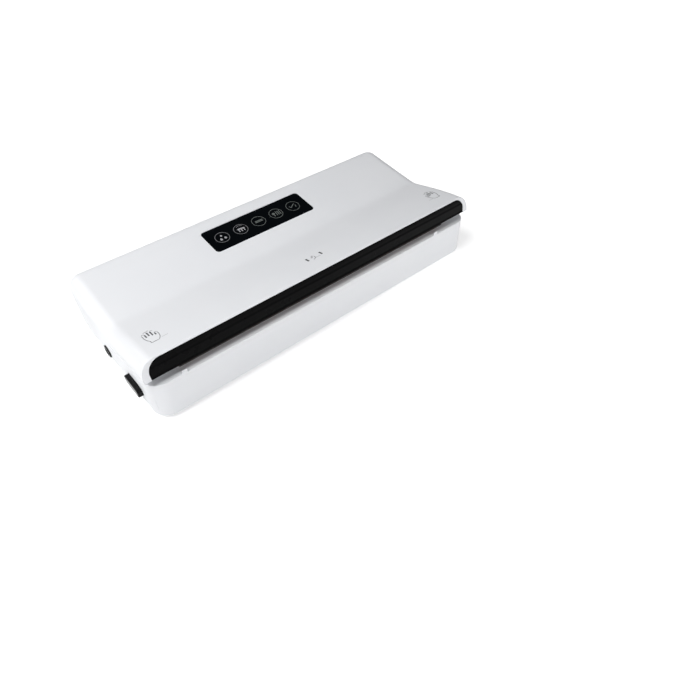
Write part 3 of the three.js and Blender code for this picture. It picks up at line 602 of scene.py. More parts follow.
def base_block(name, rings):
    """A block through rings of (inset, height), its ends closed by strips from side to side.

    A height is a function of y and of whether the point is ahead of the rear wall's foot.
    """
    loops = []
    for inset, height in rings:
        chain = half_plan(inset)
        foot = len(chain) - CORNER_STEPS - 1
        right = [(x, y, height(y, i < foot)) for i, (x, y) in enumerate(chain)]
        loops.append(right + [(-x, y, z) for x, y, z in reversed(right)])
    size = len(loops[0])
    points, faces = loop_mesh(loops, caps=False)
    for start in (0, len(points) - size):
        for j in range(size // 2 - 1):
            faces.append((start + j, start + j + 1, start + size - 2 - j, start + size - 1 - j))
    return raw_object(name, points, faces)


def flat(z):
    return lambda y, ahead: z


def below_seam(depth):
    return lambda y, ahead: seam(y) - depth


def below_deck(depth):
    """The deck and the raised part, and the seam's height along the back."""
    return lambda y, ahead: (raised(y) if ahead else seam(y)) - depth


def base_housing():
    made = base_block("base_body", [
        (1.8, flat(BASE_LOW)), (0.6, flat(BASE_LOW + 0.4)), (0.1, flat(BASE_LOW + 1.2)),
        (0, flat(BASE_LOW + 2)), (0, below_seam(BASE_EDGE)),
        (0.12 * BASE_EDGE, below_seam(0.6 * BASE_EDGE)), (0.4 * BASE_EDGE, below_seam(0.22 * BASE_EDGE)),
        (BASE_EDGE, below_seam(0)), (SIDE_INSET, below_seam(0)), (SIDE_INSET, below_deck(0)),
    ])
    hollow = base_block("base_hollow", [
        (WALL, flat(BASE_LOW - 2)), (WALL, below_seam(WALL)),
        (SIDE_INSET + WALL, below_seam(WALL)), (SIDE_INSET + WALL, below_deck(WALL)),
    ])
    boolean(made, "DIFFERENCE", hollow)
    chamber_and_grooves(made)
    base_openings(made)
    base_additions(made)
    return finished(made, "base", "white_shell", ["base_housing"])


def chamber_and_grooves(made):
    """The vacuum chamber's tray, the gasket's groove and the slot for the heating bar."""
    chamber = (-CHAMBER_HALF, CHAMBER_HALF, CHAMBER_FRONT, CHAMBER_BACK)
    layers = [(-WALL, CHAMBER_FLOOR - WALL), (-WALL, DECK - 0.4)]
    tray = block("tray", chamber, CHAMBER_RADIUS + WALL, layers)
    bed = cut_box("bed", -BAR_HALF - 3, BAR_HALF + 3, BED_FRONT, BED_BACK, DECK - 6.5, DECK - 0.2)
    boolean(made, "UNION", bed, tray)
    hollow = block("chamber", chamber, CHAMBER_RADIUS, [
        (3.2, CHAMBER_FLOOR), (1.2, CHAMBER_FLOOR + 0.5), (0.3, CHAMBER_FLOOR + 1.6),
        (0, CHAMBER_FLOOR + 3.4), (0, DECK - 1.2), (-0.35, DECK - 0.35), (-1.3, DECK + 0.02),
        (-1.3, DECK + 4),
    ])
    groove = (-GASKET_HALF, GASKET_HALF, GASKET_FRONT, GASKET_BACK)
    ring = stacked(groove, GASKET_RADIUS, [
        (-FIT, DECK - 2), (-FIT, DECK + 4),
        (GASKET_WIDTH + FIT, DECK + 4), (GASKET_WIDTH + FIT, DECK - 2),
    ])
    slot = (-BAR_HALF - FIT, BAR_HALF + FIT, BAR_FRONT - FIT, BAR_BACK + FIT)
    boolean(
        made, "DIFFERENCE", hollow, raw_object("groove", *loop_mesh(ring, closed=True)),
        block("bar_slot", slot, 1.2, [(0, DECK - 4.5), (0, DECK + 4)], 4),
    )


def base_openings(made):
    """The openings for the buttons, the catches, the hose port and the mains inlet."""
    cutters = []
    for side in (-1, 1):
        room = 0.35
        window = (
            LATCH_Y - BUTTON_HALF - room, LATCH_Y + BUTTON_HALF + room,
            LATCH_Z - BUTTON_HALF_HEIGHT - room, LATCH_Z + BUTTON_HALF_HEIGHT + room,
        )
        near, far = side * (BASE_HALF - 6), side * (BASE_HALF + 2)
        mouth = [(0, near), (0, side * (BASE_HALF - 0.5)), (-0.5, side * (BASE_HALF + 0.02)), (-0.5, far)]
        loops = along_x(stacked(window, BUTTON_CORNER + FIT, mouth, 6))
        cutters.append(raw_object("window", *loop_mesh(loops)))
        x = side * CATCH_X
        cutters.append(
            cut_box("catch_slot", x - 6, x + 6, LATCH_Y - 7.5, LATCH_Y + 7.5, DECK - WALL - 1, DECK + 3)
        )
    hole = [(PORT_BODY + FIT, -BASE_HALF - 2), (PORT_BODY + FIT, -BASE_HALF + 5)]
    cutters.append(turned_x("port_hole", hole, PORT_Y, PORT_Z, 32, closed=False))
    half, half_height = INLET_HALF + FIT, INLET_HALF_HEIGHT + FIT
    inlet = (INLET_Y - half, INLET_Y + half, INLET_Z - half_height, INLET_Z + half_height)
    socket = along_x(stacked(inlet, 3.3, [(0, BASE_HALF - 19), (0, BASE_HALF + 5)]))
    cutters.append(raw_object("inlet_hole", *loop_mesh(socket)))
    boolean(made, "DIFFERENCE", *cutters, corner_line())


def corner_line():
    """The short parting line low on the front left corner."""
    turn = math.radians(35)
    wide, deep = 0.28, 0.3
    radial = Vector((-math.cos(turn), -math.sin(turn)))
    across = Vector((-radial.y, radial.x))
    edge = Vector((-BASE_HALF + FRONT_CORNER, FRONT_CORNER)) + radial * FRONT_CORNER
    corners = [
        edge + across * wide - radial * deep, edge + across * wide + radial,
        edge - across * wide + radial, edge - across * wide - radial * deep,
    ]
    loops = [[(*corner, z) for corner in corners] for z in (12.5, 25.5)]
    return raw_object("corner_line", *loop_mesh(loops))


def base_additions(made):
    """The two tabs that guide the bag along the front edge, and the hinge ears."""
    parts = []
    layers = [(0, DECK - 1), (0, DECK + 2.6), (0.35, DECK + 3)]
    for side, x in ((-1, TAB_LEFT), (1, TAB_RIGHT)):
        parts.append(block("tab", (x - TAB_HALF, x + TAB_HALF, 0.25, 1.7), 0.5, layers, 3))
        for near, far in BASE_EARS:
            parts.append(hinge_ear("base_ear", side * near, side * far, REAR_WALL - 1, PLACE_BASE))
    boolean(made, "UNION", *parts)


def hinge_ear(name, x0, x1, root, placing):
    """A flat ear round the hinge axis, with its root in the wall."""
    radius = 3.4
    side = 1 if root < HINGE_Y else -1
    outline = [(root, HINGE_Z - radius * side), *arc(HINGE_Y, HINGE_Z, radius, -90 * side, 90 * side, 12)]
    outline.append((root, HINGE_Z + radius * side))
    loops = [[(x, y, z) for y, z in outline] for x in (x0, x1)]
    return raw_object(name, *loop_mesh(loops), placing)


# ---- The lid shell ----
def lid_top(y):
    """Height of the lid's top line at depth y, with the dip between its two parts rounded."""
    span = VALLEY_Y - 7 - LID_FACE_TOP
    t = (y - LID_FACE_TOP) / span
    front = LID_TOP + (VALLEY_Z - LID_TOP) * (y - LID_FACE_TOP) / (VALLEY_Y - LID_FACE_TOP)
    front += CROWN * 4 * t * (1 - t)
    rear = VALLEY_Z + (y - VALLEY_Y) * math.tan(SLOPE)
    return (front + rear + math.hypot(front - rear, VALLEY_SOFT)) / 2


def lid_face(z):
    """Depth of the lid's front face at height z."""
    return LID_FACE_LOW + (z - LID_EDGE) * (LID_FACE_TOP - LID_FACE_LOW) / (LID_TOP - LID_EDGE)


def lid_line(inset, drop, start):
    """Points (y, z) from start along the top and down the back, lowered by drop and moved in by inset."""
    back = LID_BACK - inset - drop
    roll = max(BACK_ROLL - inset - drop, 3)
    centre = back - roll
    end = centre - roll * math.sin(SLOPE)
    depths = [start + (end - start) * i / 56 for i in range(56)]
    line = [(y, lid_top(y) - inset - drop) for y in depths]
    crest = lid_top(centre) - inset - drop - roll / math.cos(SLOPE)
    for i in range(11):
        angle = (math.pi / 2 + SLOPE) * (1 - i / 10)
        line.append((centre + roll * math.cos(angle), crest + roll * math.sin(angle)))
    line.append((back, LID_BACK_EDGE))
    return line


def lid_stations(inset):
    """(x, drop, x of the front opening, height of the opening's edge) across the lid."""
    turns = [i / 12 * math.pi / 2 for i in range(13)]
    straight = LID_HALF - LID_ROUND
    squeeze = STRIP_HALF / (LID_HALF - LID_RIM)
    right = []
    for turn in turns:
        away = math.sin(turn)
        drop = (LID_ROUND - inset) * (1 - math.cos(turn))
        opening = (LID_ROUND - LID_RIM) * (1 - math.cos(turn))
        right.append((
            straight + (LID_ROUND - inset) * away, drop,
            (straight + (LID_ROUND - LID_RIM) * away) * squeeze, LID_TOP - LID_RIM - opening,
        ))
    middle = [(straight * i / 8, 0, straight * squeeze * i / 8, LID_TOP - LID_RIM) for i in range(-7, 8)]
    return [(-x, d, -ox, oz) for x, d, ox, oz in reversed(right)] + middle + right


def rim_fillet(drop):
    """The rounded edge between the lid's front face and its top."""
    corner = Vector((lid_face(LID_TOP - drop), LID_TOP - drop))
    low = Vector((lid_face(LID_TOP - drop - RIM_FILLET), LID_TOP - drop - RIM_FILLET))
    high_y = corner.x + RIM_FILLET * 1.6
    high = Vector((high_y, lid_top(high_y + LID_FACE_TOP - corner.x) - drop))
    steps = [i / 6 for i in range(7)]
    return [tuple(low * (1 - t) ** 2 + corner * 2 * t * (1 - t) + high * t * t) for t in steps]


def lid_skin(inset):
    """Rings of points across the lid's outer skin, or its inner one if inset is given."""
    rings = []
    for x, drop, opening_x, opening_z in lid_stations(inset):
        if inset:
            depth = STRIP_DEPTH
            line = lid_line(inset, drop, depth)
        else:
            depth = lid_face(opening_z)
            edge = rim_fillet(drop)
            line = edge[:-1] + lid_line(0, drop, edge[-1][0])
        rings.append([(opening_x, depth, opening_z)] + [(x, y, z) for y, z in line])
    return rings


def lid_shell():
    """Two skins joined along the front opening, the back edge and the ends."""
    points, faces = [], []
    skins = []
    for inset in (0, WALL):
        rings = lid_skin(inset)
        count = len(rings[0])
        start = len(points)
        points += [p for ring in rings for p in ring]
        for i in range(len(rings) - 1):
            for j in range(count - 1):
                a = start + i * count + j
                faces.append((a, a + 1, a + count + 1, a + count))
        skins.append([[start + i * count + j for j in range(count)] for i in range(len(rings))])
    outer, inner = skins
    for i in range(len(outer) - 1):
        faces.append((outer[i][0], outer[i + 1][0], inner[i + 1][0], inner[i][0]))
        faces.append((outer[i][-1], outer[i + 1][-1], inner[i + 1][-1], inner[i][-1]))
    for side, row in ((-1, 0), (1, -1)):
        lid_end(points, faces, outer[row], inner[row], side)
    made = raw_object("lid_body", points, faces, PLACE_LID)
    apply_modifiers(bevel(made, 0.45, 2, 55))
    boolean(made, "DIFFERENCE", panel_recess())
    for side in (-1, 1):
        near, far = (side * x for x in LID_EAR)
        boolean(made, "UNION", hinge_ear("lid_ear", near, far, LID_BACK - 1, PLACE_LID))
    return finished(made, "lid", "white_shell", ["lid_shell"])


def lid_end(points, faces, outer, inner, side):
    """Closes one end: two flat cheeks, the rim beside the front opening, and the lower edge."""
    back = LID_BACK - LID_ROUND
    depths = [SEAM_START + (back - SEAM_START) * i / 44 for i in range(45)]
    edge = []
    for inset, front_y in ((0, LID_FACE_LOW), (WALL, STRIP_DEPTH)):
        x = side * (LID_HALF - inset)
        row = [(x, front_y, LID_EDGE)]
        row += [(x, y, seam(y, LID_EDGE, LID_EDGE - LID_BACK_EDGE)) for y in depths[:-1]]
        edge.append([len(points) + i for i in range(len(row))])
        points += row
    edge[0].append(outer[-1])
    edge[1].append(inner[-1])
    post = [len(points), len(points) + 1]
    points.append((side * STRIP_HALF, LID_FACE_LOW, LID_EDGE))
    points.append((side * STRIP_HALF, STRIP_DEPTH, LID_EDGE))
    faces.append(tuple(outer[1:-1]) + tuple(reversed(edge[0])))
    faces.append(tuple(inner[1:-1]) + tuple(reversed(edge[1])))
    faces.append((outer[0], outer[1], edge[0][0], post[0]))
    faces.append((inner[0], inner[1], edge[1][0], post[1]))
    faces.append((outer[0], post[0], post[1], inner[0]))
    faces.append((post[0], edge[0][0], edge[1][0], post[1]))
    for i in range(len(edge[0]) - 1):
        faces.append((edge[0][i], edge[0][i + 1], edge[1][i + 1], edge[1][i]))


# The plane of the rear slope at the panel: X across, Y up the slope, Z out of it.
ON_SLOPE = (
    PLACE_LID
    @ Matrix.Translation((0, PANEL_Y, VALLEY_Z + (PANEL_Y - VALLEY_Y) * math.tan(SLOPE)))
    @ Matrix.Rotation(SLOPE, 4, "X")
)
PANEL = (-PANEL_HALF, PANEL_HALF, -PANEL_HALF_WIDTH, PANEL_HALF_WIDTH)


def panel_recess():
    layers = [(-FIT, -PANEL_THICK - 0.2), (-FIT, 4)]
    return block("recess", PANEL, PANEL_CORNER, layers, placing=ON_SLOPE)


def touch_panel():
    layers = [(0.1, -PANEL_THICK), (0, -PANEL_THICK + 0.2), (0, -0.25), (0.08, -0.08), (0.3, 0)]
    made = block("panel_glass", PANEL, PANEL_CORNER, layers, 10, ON_SLOPE)
    return finished(made, "lid", "panel_gloss", ["touch_panel"])


# ---- The front strip ----
def strip_face(z):
    """Depth of the strip's face at height z: a lower lip, a ledge, and a face that leans back."""
    levels = [
        (LID_EDGE + 0.2, 2.3), (44.3, 2.3), (45.0, 2.9), (53.8, 2.95), (54.6, 3.5), (57.5, 3.75),
        (LID_TOP, 5.0),
    ]
    for (z0, y0), (z1, y1) in zip(levels, levels[1:]):
        if z <= z1:
            return y0 + (y1 - y0) * max(z - z0, 0) / (z1 - z0)
    return levels[-1][1]


def front_strip():
    """A grid over the opening's outline, with a rounded border and a flat back."""
    stations = []
    squeeze = (STRIP_HALF - FIT) / (LID_HALF - LID_RIM - FIT)
    straight = (LID_HALF - LID_ROUND) * squeeze
    radius = LID_ROUND - LID_RIM - FIT
    for i in range(25):
        turn = math.pi / 2 * i / 24
        stations.append((straight + radius * squeeze * math.sin(turn), radius * (1 - math.cos(turn))))
    middle = [(straight * i / 10, 0) for i in range(-9, 10)]
    stations = [(-x, d) for x, d in reversed(stations)] + middle + stations
    low, high = LID_EDGE + 0.2, LID_TOP - LID_RIM - FIT
    rows = 30
    fronts, backs, faces = [], [], []
    for x, drop in stations:
        for j in range(rows + 1):
            z = low + (high - drop - low) * j / rows
            fronts.append((x, strip_face(z), z))
            backs.append((x, min(strip_face(z) + 3, STRIP_DEPTH - 0.3), z))
    count, width = rows + 1, len(stations)
    back = count * width
    for i in range(width - 1):
        for j in range(rows):
            a = i * count + j
            faces.append((a, a + 1, a + count + 1, a + count))
            faces.append((back + a, back + a + count, back + a + count + 1, back + a + 1))
        for j in (0, rows):
            a = i * count + j
            faces.append((a, a + count, back + a + count, back + a))
    for i in (0, width - 1):
        for j in range(rows):
            a = i * count + j
            faces.append((a, a + 1, back + a + 1, back + a))
    made = raw_object("front_trim", fronts + backs, faces, PLACE_LID)
    apply_modifiers(bevel(made, 0.35, 3, 60))
    return finished(made, "lid", "black_trim", ["front_strip"], angle=40)


# ---- Seals, heating bar and press strip ----
def foam_ring(name, low, high, body, placing, node, upward):
    """A foam ring with a rounded free face."""
    box = (-GASKET_HALF, GASKET_HALF, GASKET_FRONT, GASKET_BACK)
    round_off = 0.45
    tall = high - low
    half = [(0, 0), (0, tall - round_off), (0.12, tall - 0.14), (round_off, tall)]
    other = [(GASKET_WIDTH - inset, z) for inset, z in reversed(half)]
    layers = [(i, low + z if upward else high - z) for i, z in half + other]
    made = raw_object(name, *loop_mesh(stacked(box, GASKET_RADIUS, layers, 12), closed=True), placing)
    return finished(made, body, "foam", [node])


def seals():
    foam_ring("base_foam", DECK - 1.9, LOWER_SEAL_TOP, "base", PLACE_BASE, "lower_gasket", True)
    foam_ring("lid_foam", UPPER_SEAL_LOW, LINER_LOW - 0.1, "lid", PLACE_LID, "upper_gasket", False)
    heating_bar()
    press_strip()


def heating_bar():
    """The bar in its slot, with a cloth folded down over its sides."""
    bar = (-BAR_HALF, BAR_HALF, BAR_FRONT, BAR_BACK)
    layers = [(0.2, DECK - 4.4), (0, DECK - 4.2), (0, BAR_TOP - 0.25), (0.25, BAR_TOP)]
    made = block("sealing_bar", bar, 0.9, layers, 4)
    finished(made, "base", "aluminium", ["heating_bar"])
    cover = (-BAR_HALF - 0.12, BAR_HALF + 0.12, BAR_FRONT - 0.2, BAR_BACK + 0.2)
    outer = [(0, BAR_TOP - 0.7), (0, BAR_TOP + 0.2), (0.2, BAR_TOP + 0.52), (0.6, BAR_TOP + 0.65)]
    inner = [(0.14, BAR_TOP - 0.7), (0.14, BAR_TOP - 0.1), (0.3, BAR_TOP + 0.12), (0.95, BAR_TOP + 0.5)]
    made = block("bar_cloth", cover, 1.1, outer, 4)
    boolean(made, "DIFFERENCE", block("bar_room", cover, 1.1, inner, 4))
    finished(made, "base", "sealing_cloth", ["sealing_tape"])


def press_strip():
    press = (-BAR_HALF, BAR_HALF, BAR_FRONT + 1, BAR_BACK - 1)
    low = LINER_LOW - 1.1
    layers = [(0.5, low), (0.14, low + 0.12), (0, low + 0.4), (0, low + 1)]
    made = block("press_rubber", press, 1.0, layers, 6, PLACE_LID)
    finished(made, "lid", "silicone", ["press_strip"])


# ---- Ends: buttons, hose port, feet ----
def release_button(side, label):
    outline = (
        LATCH_Y - BUTTON_HALF, LATCH_Y + BUTTON_HALF,
        LATCH_Z - BUTTON_HALF_HEIGHT, LATCH_Z + BUTTON_HALF_HEIGHT,
    )
    rounding = 0.9
    layers = [(0, BUTTON_FACE - 7.2), (0, BUTTON_FACE - rounding)]
    for i in range(1, 7):
        turn = math.pi / 2 * i / 6
        layers.append((rounding * (1 - math.cos(turn)), BUTTON_FACE - rounding * (1 - math.sin(turn))))
    loops = along_x(stacked(outline, BUTTON_CORNER, [(inset, side * h) for inset, h in layers]))
    made = raw_object(f"button_{label}", *loop_mesh(loops))
    return finished(
        made, f"latch_{label}", "black_trim", [f"release_button_{label}"], look=BUTTON_LOOK
    )


def hose_port():
    """A ring, a body and a nipple, bored through; each pair is (radius, distance behind the face)."""
    profile = [
        (PORT_BODY - 0.3, 0), (PORT_BODY, 0.3), (PORT_BODY, 3.8), (PORT_BORE + 1.5, 4.0),
        (PORT_BORE + 1.5, 12.8), (1.9, 13.0), (1.9, 20.8), (1.0, 20.8), (1.0, 11.3),
        (PORT_BORE, 11.3), (PORT_BORE, 0.45), (PORT_BORE + 0.45, 0),
    ]
    profile = [(radius, PORT_FACE + behind) for radius, behind in profile]
    made = turned_x("port_ring", profile, PORT_Y, PORT_Z, 40, closed=True)
    return finished(made, "base", "black_trim", ["hose_port"], look=BUTTON_LOOK)


def feet():
    """Four rubber feet with a dished sole."""
    profile = [
        (0.05, 0.35), (3.4, 0.35), (3.8, 0), (6.2, 0), (6.9, 0.25), (7.3, 0.9), (7.9, 2.9),
        (7.9, 3.4), (0.05, 3.4),
    ]
    for depth in ("front", "back"):
        for side in ("left", "right"):
            node = f"foot_{depth}_{side}"
            low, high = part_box(node)
            x = (low.x + high.x) / 2 / MM
            y = middle_of(node)[0]
            loops = [[(x + u, y + v, z) for u, v, z in loop] for loop in lathe(profile, 36)]
            made = raw_object(f"rubber_{node}", *loop_mesh(loops))
            finished(made, "base", "foot_rubber", [node])


def screws():
    """Pan heads with a cross recess, in place of the plain screws."""
    for node in sorted(frame["nodes"]):
        if "_screw_" not in node:
            continue
        on_lid = node.startswith("lid")
        low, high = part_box(node)
        profile = [
            (0.05, 0.1), (1.5, 0.1), (2.5, 0.42), (2.95, 1.0), (2.95, 1.35), (1.3, 1.4),
        ]
        length = (high.z - low.z) / MM
        for i in range(1, 8):
            h = 1.4 + (length - 2.4) * i / 8
            profile += [(1.3, h - 0.2), (1.02, h), (1.3, h + 0.2)]
        profile += [(1.3, length - 1), (0.05, length)]
        foot = Vector(((low.x + high.x) / 2, (low.y + high.y) / 2, low.z))
        turn = Matrix.Rotation(-AJAR, 4, "X") if on_lid else Matrix.Identity(4)
        placing = Matrix.Translation(foot) @ turn @ Matrix.Scale(MM, 4)
        made = raw_object(f"steel_{node}", *loop_mesh(lathe(profile, 20)), placing)
        for x, y in ((1.7, 0.32), (0.32, 1.7)):
            boolean(made, "DIFFERENCE", cut_box("cross", -x, x, -y, y, -1, 0.95, placing=placing))
        finished(made, "lid" if on_lid else "base", "steel", [node])


# ---- Printed marks ----
def dense(line):
    """The line with a point at least every millimetre, to follow a curved surface."""
    points = [line[0]]
    for (x0, y0), (x1, y1) in zip(line, line[1:]):
        parts = max(1, math.ceil(math.hypot(x1 - x0, y1 - y0)))
        points += [(x0 + (x1 - x0) * i / parts, y0 + (y1 - y0) * i / parts) for i in range(1, parts + 1)]
    return points


def stroke(line, width, surface, closed=False):
    """Points and faces of a thin raised ribbon along a line; surface gives (x, y, lift) its place."""
    line = dense(line)
    if closed:
        line = line[:-1]
    count = len(line)
    points, faces = [], []
    for i, (x, y) in enumerate(line):
        before = line[(i - 1) % count] if closed or i else line[0]
        after = line[(i + 1) % count] if closed or i < count - 1 else line[-1]
        along = Vector((after[0] - before[0], after[1] - before[1]))
        along = along.normalized() if along.length else Vector((1, 0))
        away = Vector((-along.y, along.x)) * width / 2
        for sign, lift in ((1, 0), (1, 1), (-1, 1), (-1, 0)):
            points.append(surface(x + sign * away.x, y + sign * away.y, lift))
    for i in range(count if closed else count - 1):
        a, b = 4 * i, 4 * ((i + 1) % count)
        for j in range(4):
            k = (j + 1) % 4
            faces.append((a + j, a + k, b + k, b + j))
    if not closed:
        faces.append((0, 1, 2, 3))
        faces.append((4 * count - 1, 4 * count - 2, 4 * count - 3, 4 * count - 4))
    return points, faces


def blot(outline, surface):
    """A filled flat mark."""
    count = len(outline)
    points = [surface(x, y, lift) for lift in (0, 1) for x, y in outline]
    faces = [(i, (i + 1) % count, count + (i + 1) % count, count + i) for i in range(count)]
    faces += [tuple(range(count)), tuple(range(count, 2 * count))]
    return points, faces


def merged(pieces):
    """Points and faces of several pieces as one mesh."""
    points, faces = [], []
    for more, more_faces in pieces:
        start = len(points)
        points += more
        faces += [tuple(start + i for i in face) for face in more_faces]
    return points, faces


# Heights of the ink's underside and its top over the surface that it is printed on.
INK_LEVELS = (-0.03, 0.045)


def on_lid(cx, cy, mirror=1):
    """Places a mark drawn about its own middle on the lid's top."""
    def surface(x, y, lift):
        depth = cy + y
        return (cx + mirror * x, depth, lid_top(depth) + INK_LEVELS[lift])
    return surface


def on_panel(cx):
    """Places a mark drawn about its own middle on the panel."""
    def surface(x, y, lift):
        return (cx + x, y, INK_LEVELS[lift])
    return surface


def marks(name, placing, look, *pieces):
    made = raw_object(name, *merged(pieces), placing)
    return finished(made, "lid", None, look=look)


def hand_marks(surface):
    """An open hand seen from above: dark gaps between its fingers inside a thin outline."""
    gaps = [(-3.1, 4.8, -0.2), (-0.5, 6.8, 0.4), (2.1, 5.7, -1.0), (4.6, 1.6, -1.9)]
    strokes = [stroke([(x, top), (x + 0.1, low)], 1.15, surface) for x, top, low in gaps]
    outline = [(-5.5, 4.9), (-5.6, 0.2), (-5.1, -2.8), (-4.4, -5.2), (-3.2, -7.0), (-3.0, -10.1)]
    outline += [(3.8, -10.0), (4.9, -8.6), (6.3, -6.0), (6.9, -2.2), (6.7, 1.2)]
    tips = [(-4.3, 5.2, 1.15), (-1.8, 7.3, 1.2), (0.8, 7.6, 1.2), (3.3, 5.6, 1.2), (5.7, 1.4, 1.0)]
    arcs = [stroke(arc(x, y, r, 20, 160, 6), 0.42, surface) for x, y, r in tips]
    return strokes + arcs + [stroke(outline, 0.48, surface)]


def lid_marks():
    """A hand with a short line at each end, and the small marks in the middle."""
    for side, label in ((-1, "left"), (1, "right")):
        surface = on_lid(side * HAND_X, HAND_Y, mirror=-side)
        marks(f"hand_mark_{label}", PLACE_LID, INK_DARK, *hand_marks(surface))
        line = stroke([(6.4, -8.8), (12.0, -8.6)], 0.4, surface)
        marks(f"level_mark_{label}", PLACE_LID, INK_FAINT, line)
    surface = on_lid(0, 30)
    centres = ((-7.2, -2.0), (9.6, -1.1))
    ticks = [stroke([(x - 0.15, y + 2.6), (x + 0.15, y - 2.6)], 1.7, surface) for x, y in centres]
    marks("centre_ticks", PLACE_LID, INK_BLACK, *ticks)
    arrow = [(1.7, -0.7), (1.5, -4.3), (-2.0, -5.8)]
    marks("centre_arrow", PLACE_LID, INK_GREY, stroke(arrow, 0.7, surface))
    marks(
        "centre_dash", PLACE_LID, INK_FAINT, stroke([(0.6, 1.2), (-2.2, -2.6)], 1.9, surface),
        stroke([(2.2, -3.9), (6.8, -4.6)], 0.6, surface),
    )


def circle(x, y, radius, steps):
    return arc(x, y, radius, 0, 360, steps)


def drop_shape(x, y, size):
    """A drop with its point up."""
    return [(x, y + 1.5 * size)] + arc(x, y, size, 35, -215, 10)


def icon_drops(surface):
    drops = ((0.1, 2.5, 1.15), (-2.3, -2.4, 1.4), (2.7, -2.3, 1.4))
    return [blot(drop_shape(x, y, size), surface) for x, y, size in drops]


def icon_dry(surface):
    """A loaf on three legs, with a faint arc over it."""
    body = [(-3.6, 0.2), (4.5, -0.4), (4.9, 0.4), (3.6, 1.3), (-1.0, 1.9), (-3.6, 1.5)]
    legs = [stroke([(x, 0.4), (x - 0.2, -3.4)], 1.0, surface) for x in (-2.5, 0.4, 3.3)]
    return [blot(body, surface), *legs, stroke(arc(0.6, 0.0, 5.4, 50, 125, 10), 0.3, surface)]


def icon_seal(surface):
    """Two bars, one on the other."""
    upper = [(-4.2, 0.5), (4.9, 0.2), (5.2, 1.4), (-3.7, 1.7)]
    lower = [(-4.4, -1.1), (4.7, -1.4), (4.9, -0.4), (-4.3, -0.1)]
    return [blot(upper, surface), blot(lower, surface)]


def icon_pump(surface):
    """A disc on a stem, with three bars beside it."""
    bars = [stroke([(x + 0.3, 3.1), (x - 0.2, -3.4)], 0.85, surface) for x in (0.5, 2.6, 4.7)]
    stem = stroke([(-2.7, -0.4), (-2.8, -3.5)], 0.9, surface)
    return [*bars, blot(circle(-2.7, 0.8, 1.7, 16), surface), stem]


def icon_stop(surface):
    """A check mark with a short bar beside it."""
    lines = [
        [(-3.9, 1.0), (-2.6, -1.9)], [(-2.6, -1.9), (-1.4, -0.3), (0.6, 1.4), (3.4, 2.6)],
        [(3.4, 0.6), (2.7, -2.8)],
    ]
    return [stroke(line, 0.8, surface) for line in lines]


def panel_marks():
    icons = [
        ("moist", icon_drops, INK_LIGHT), ("dry", icon_dry, INK_LIGHT), ("seal", icon_seal, INK_DIM),
        ("vacuum", icon_pump, INK_DIM), ("stop", icon_stop, INK_DIM),
    ]
    for i, (label, draw, look) in enumerate(icons):
        surface = on_panel((i - 2) * KEY_PITCH - 0.5)
        ring = stroke(circle(0, 0, KEY_RADIUS, 40), 0.5, surface, closed=True)
        marks(f"key_ring_{label}", ON_SLOPE, INK_RING if i < 2 else INK_DIM, ring)
        marks(f"key_sign_{label}", ON_SLOPE, look, *draw(surface))


# ---- Finer finish for the frame's own pieces ----
def dress_nodes():
    """Every CAD piece still showing gets its procedural material and shading; the pieces listed here also get
    rounded edges.
    """
    slots = {row["node"]: row["material_slot"] for row in frame["record"]["subparts"]}
    bevels = {
        "bottom_cover": 0.35, "lid_liner": 0.4, "mains_inlet": 0.4, "lid_catch_left": 0.3,
        "lid_catch_right": 0.3, "latch_slider_left": 0.3, "latch_slider_right": 0.3,
        "power_board": 0.1, "transformer": 0.5, "heat_sink": 0.2, "solenoid_valve": 0.4,
        "control_board": 0.1, "lid_switch_left": 0.3, "lid_switch_right": 0.3,
        "pump_cradle": 0.6, "pump_head": 0.6, "pump_motor": 0.5, "capacitor": 0.6,
        "mains_pin_1": 0.25, "mains_pin_2": 0.25,
    }
    for node, made in frame["nodes"].items():
        if made.hide_render:
            continue
        made.data.materials.clear()
        made.data.materials.append(LOOKS[slots[node]])
        if node in bevels:
            bevel(made, bevels[node], 2, 45)
        smooth(made, 34)


# ---- Studio ----
CAMERA_AT = Vector((-0.2583, -0.4097, 0.3915))
CAMERA_AZIMUTH = math.radians(-40.2)
CAMERA_ELEVATION = math.radians(45.8)
CAMERA_ROLL = math.radians(-0.7)
LENS_MM = 29.3
SENSOR_MM = 36.0


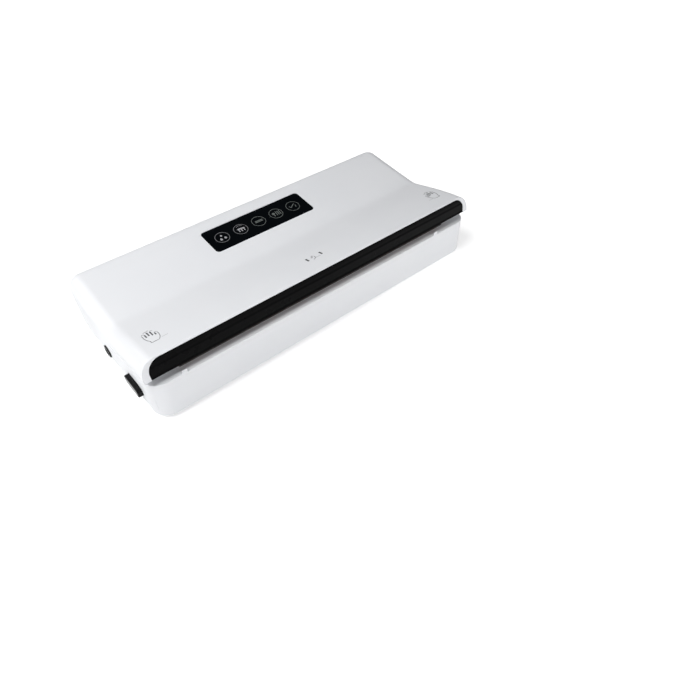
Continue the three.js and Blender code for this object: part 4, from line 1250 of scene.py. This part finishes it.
def camera():
    """The camera, turned to the photo's azimuth, elevation and roll."""
    level = math.cos(CAMERA_ELEVATION)
    forward = Vector((
        -math.sin(CAMERA_AZIMUTH) * level, math.cos(CAMERA_AZIMUTH) * level,
        -math.sin(CAMERA_ELEVATION),
    ))
    right = forward.cross(Vector((0, 0, 1))).normalized()
    up = right.cross(forward)
    cos, sin = math.cos(CAMERA_ROLL), math.sin(CAMERA_ROLL)
    axes = (right * cos + up * sin, up * cos - right * sin, -forward)
    data = bpy.data.cameras.new("camera")
    data.lens = LENS_MM
    data.sensor_width = SENSOR_MM
    data.clip_start = 0.01
    made = bpy.data.objects.new("camera", data)
    made.matrix_world = Matrix.Translation(CAMERA_AT) @ Matrix(axes).transposed().to_4x4()
    bpy.context.scene.collection.objects.link(made)
    bpy.context.scene.camera = made


def softbox(name, location, target, width, height, power):
    """A soft rectangular lamp that faces its target; lengths in metres, power in watts."""
    data = bpy.data.lights.new(name, "AREA")
    data.shape = "RECTANGLE"
    data.size = width
    data.size_y = height
    data.energy = power
    made = bpy.data.objects.new(name, data)
    made.location = location
    aim = Vector(target) - Vector(location)
    made.rotation_euler = aim.to_track_quat("-Z", "Y").to_euler()
    bpy.context.scene.collection.objects.link(made)


def studio():
    bpy.context.scene.view_settings.view_transform = "Standard"
    softbox("left", (-0.65, -0.05, 1.15), (-0.05, 0, 0.04), 0.7, 0.7, 11.6)
    softbox("front", (-0.1, -1.3, 0.7), (0, 0, 0.03), 1.4, 0.8, 6.8)
    softbox("top", (-0.3, 0.1, 1.5), (0, 0, 0), 1.2, 1.2, 2.2)
    softbox("back", (-0.75, 0.95, 0.95), (0, 0.05, 0.05), 0.9, 0.6, 6.6)
    world = bpy.data.worlds.new("studio")
    world.use_nodes = True
    sky = world.node_tree.nodes["Background"]
    sky.inputs["Color"].default_value = (0.97, 0.98, 1, 1)
    sky.inputs["Strength"].default_value = 0.02
    bpy.context.scene.world = world
    floor()


def floor():
    """A plain table top that reaches far past the picture."""
    sheet = bpy.data.meshes.new("floor")
    reach = 12.0
    sheet.from_pydata(
        [(-reach, -reach, 0), (reach, -reach, 0), (reach, reach, 0), (-reach, reach, 0)], [],
        [(0, 1, 2, 3)],
    )
    made = bpy.data.objects.new("floor", sheet)
    sheet.materials.append(pale_floor())
    bpy.context.scene.collection.objects.link(made)


camera()
base_housing()
lid_shell()
touch_panel()
front_strip()
seals()
for end, word in ((-1, "left"), (1, "right")):
    release_button(end, word)
hose_port()
feet()
screws()
lid_marks()
panel_marks()
dress_nodes()
studio()
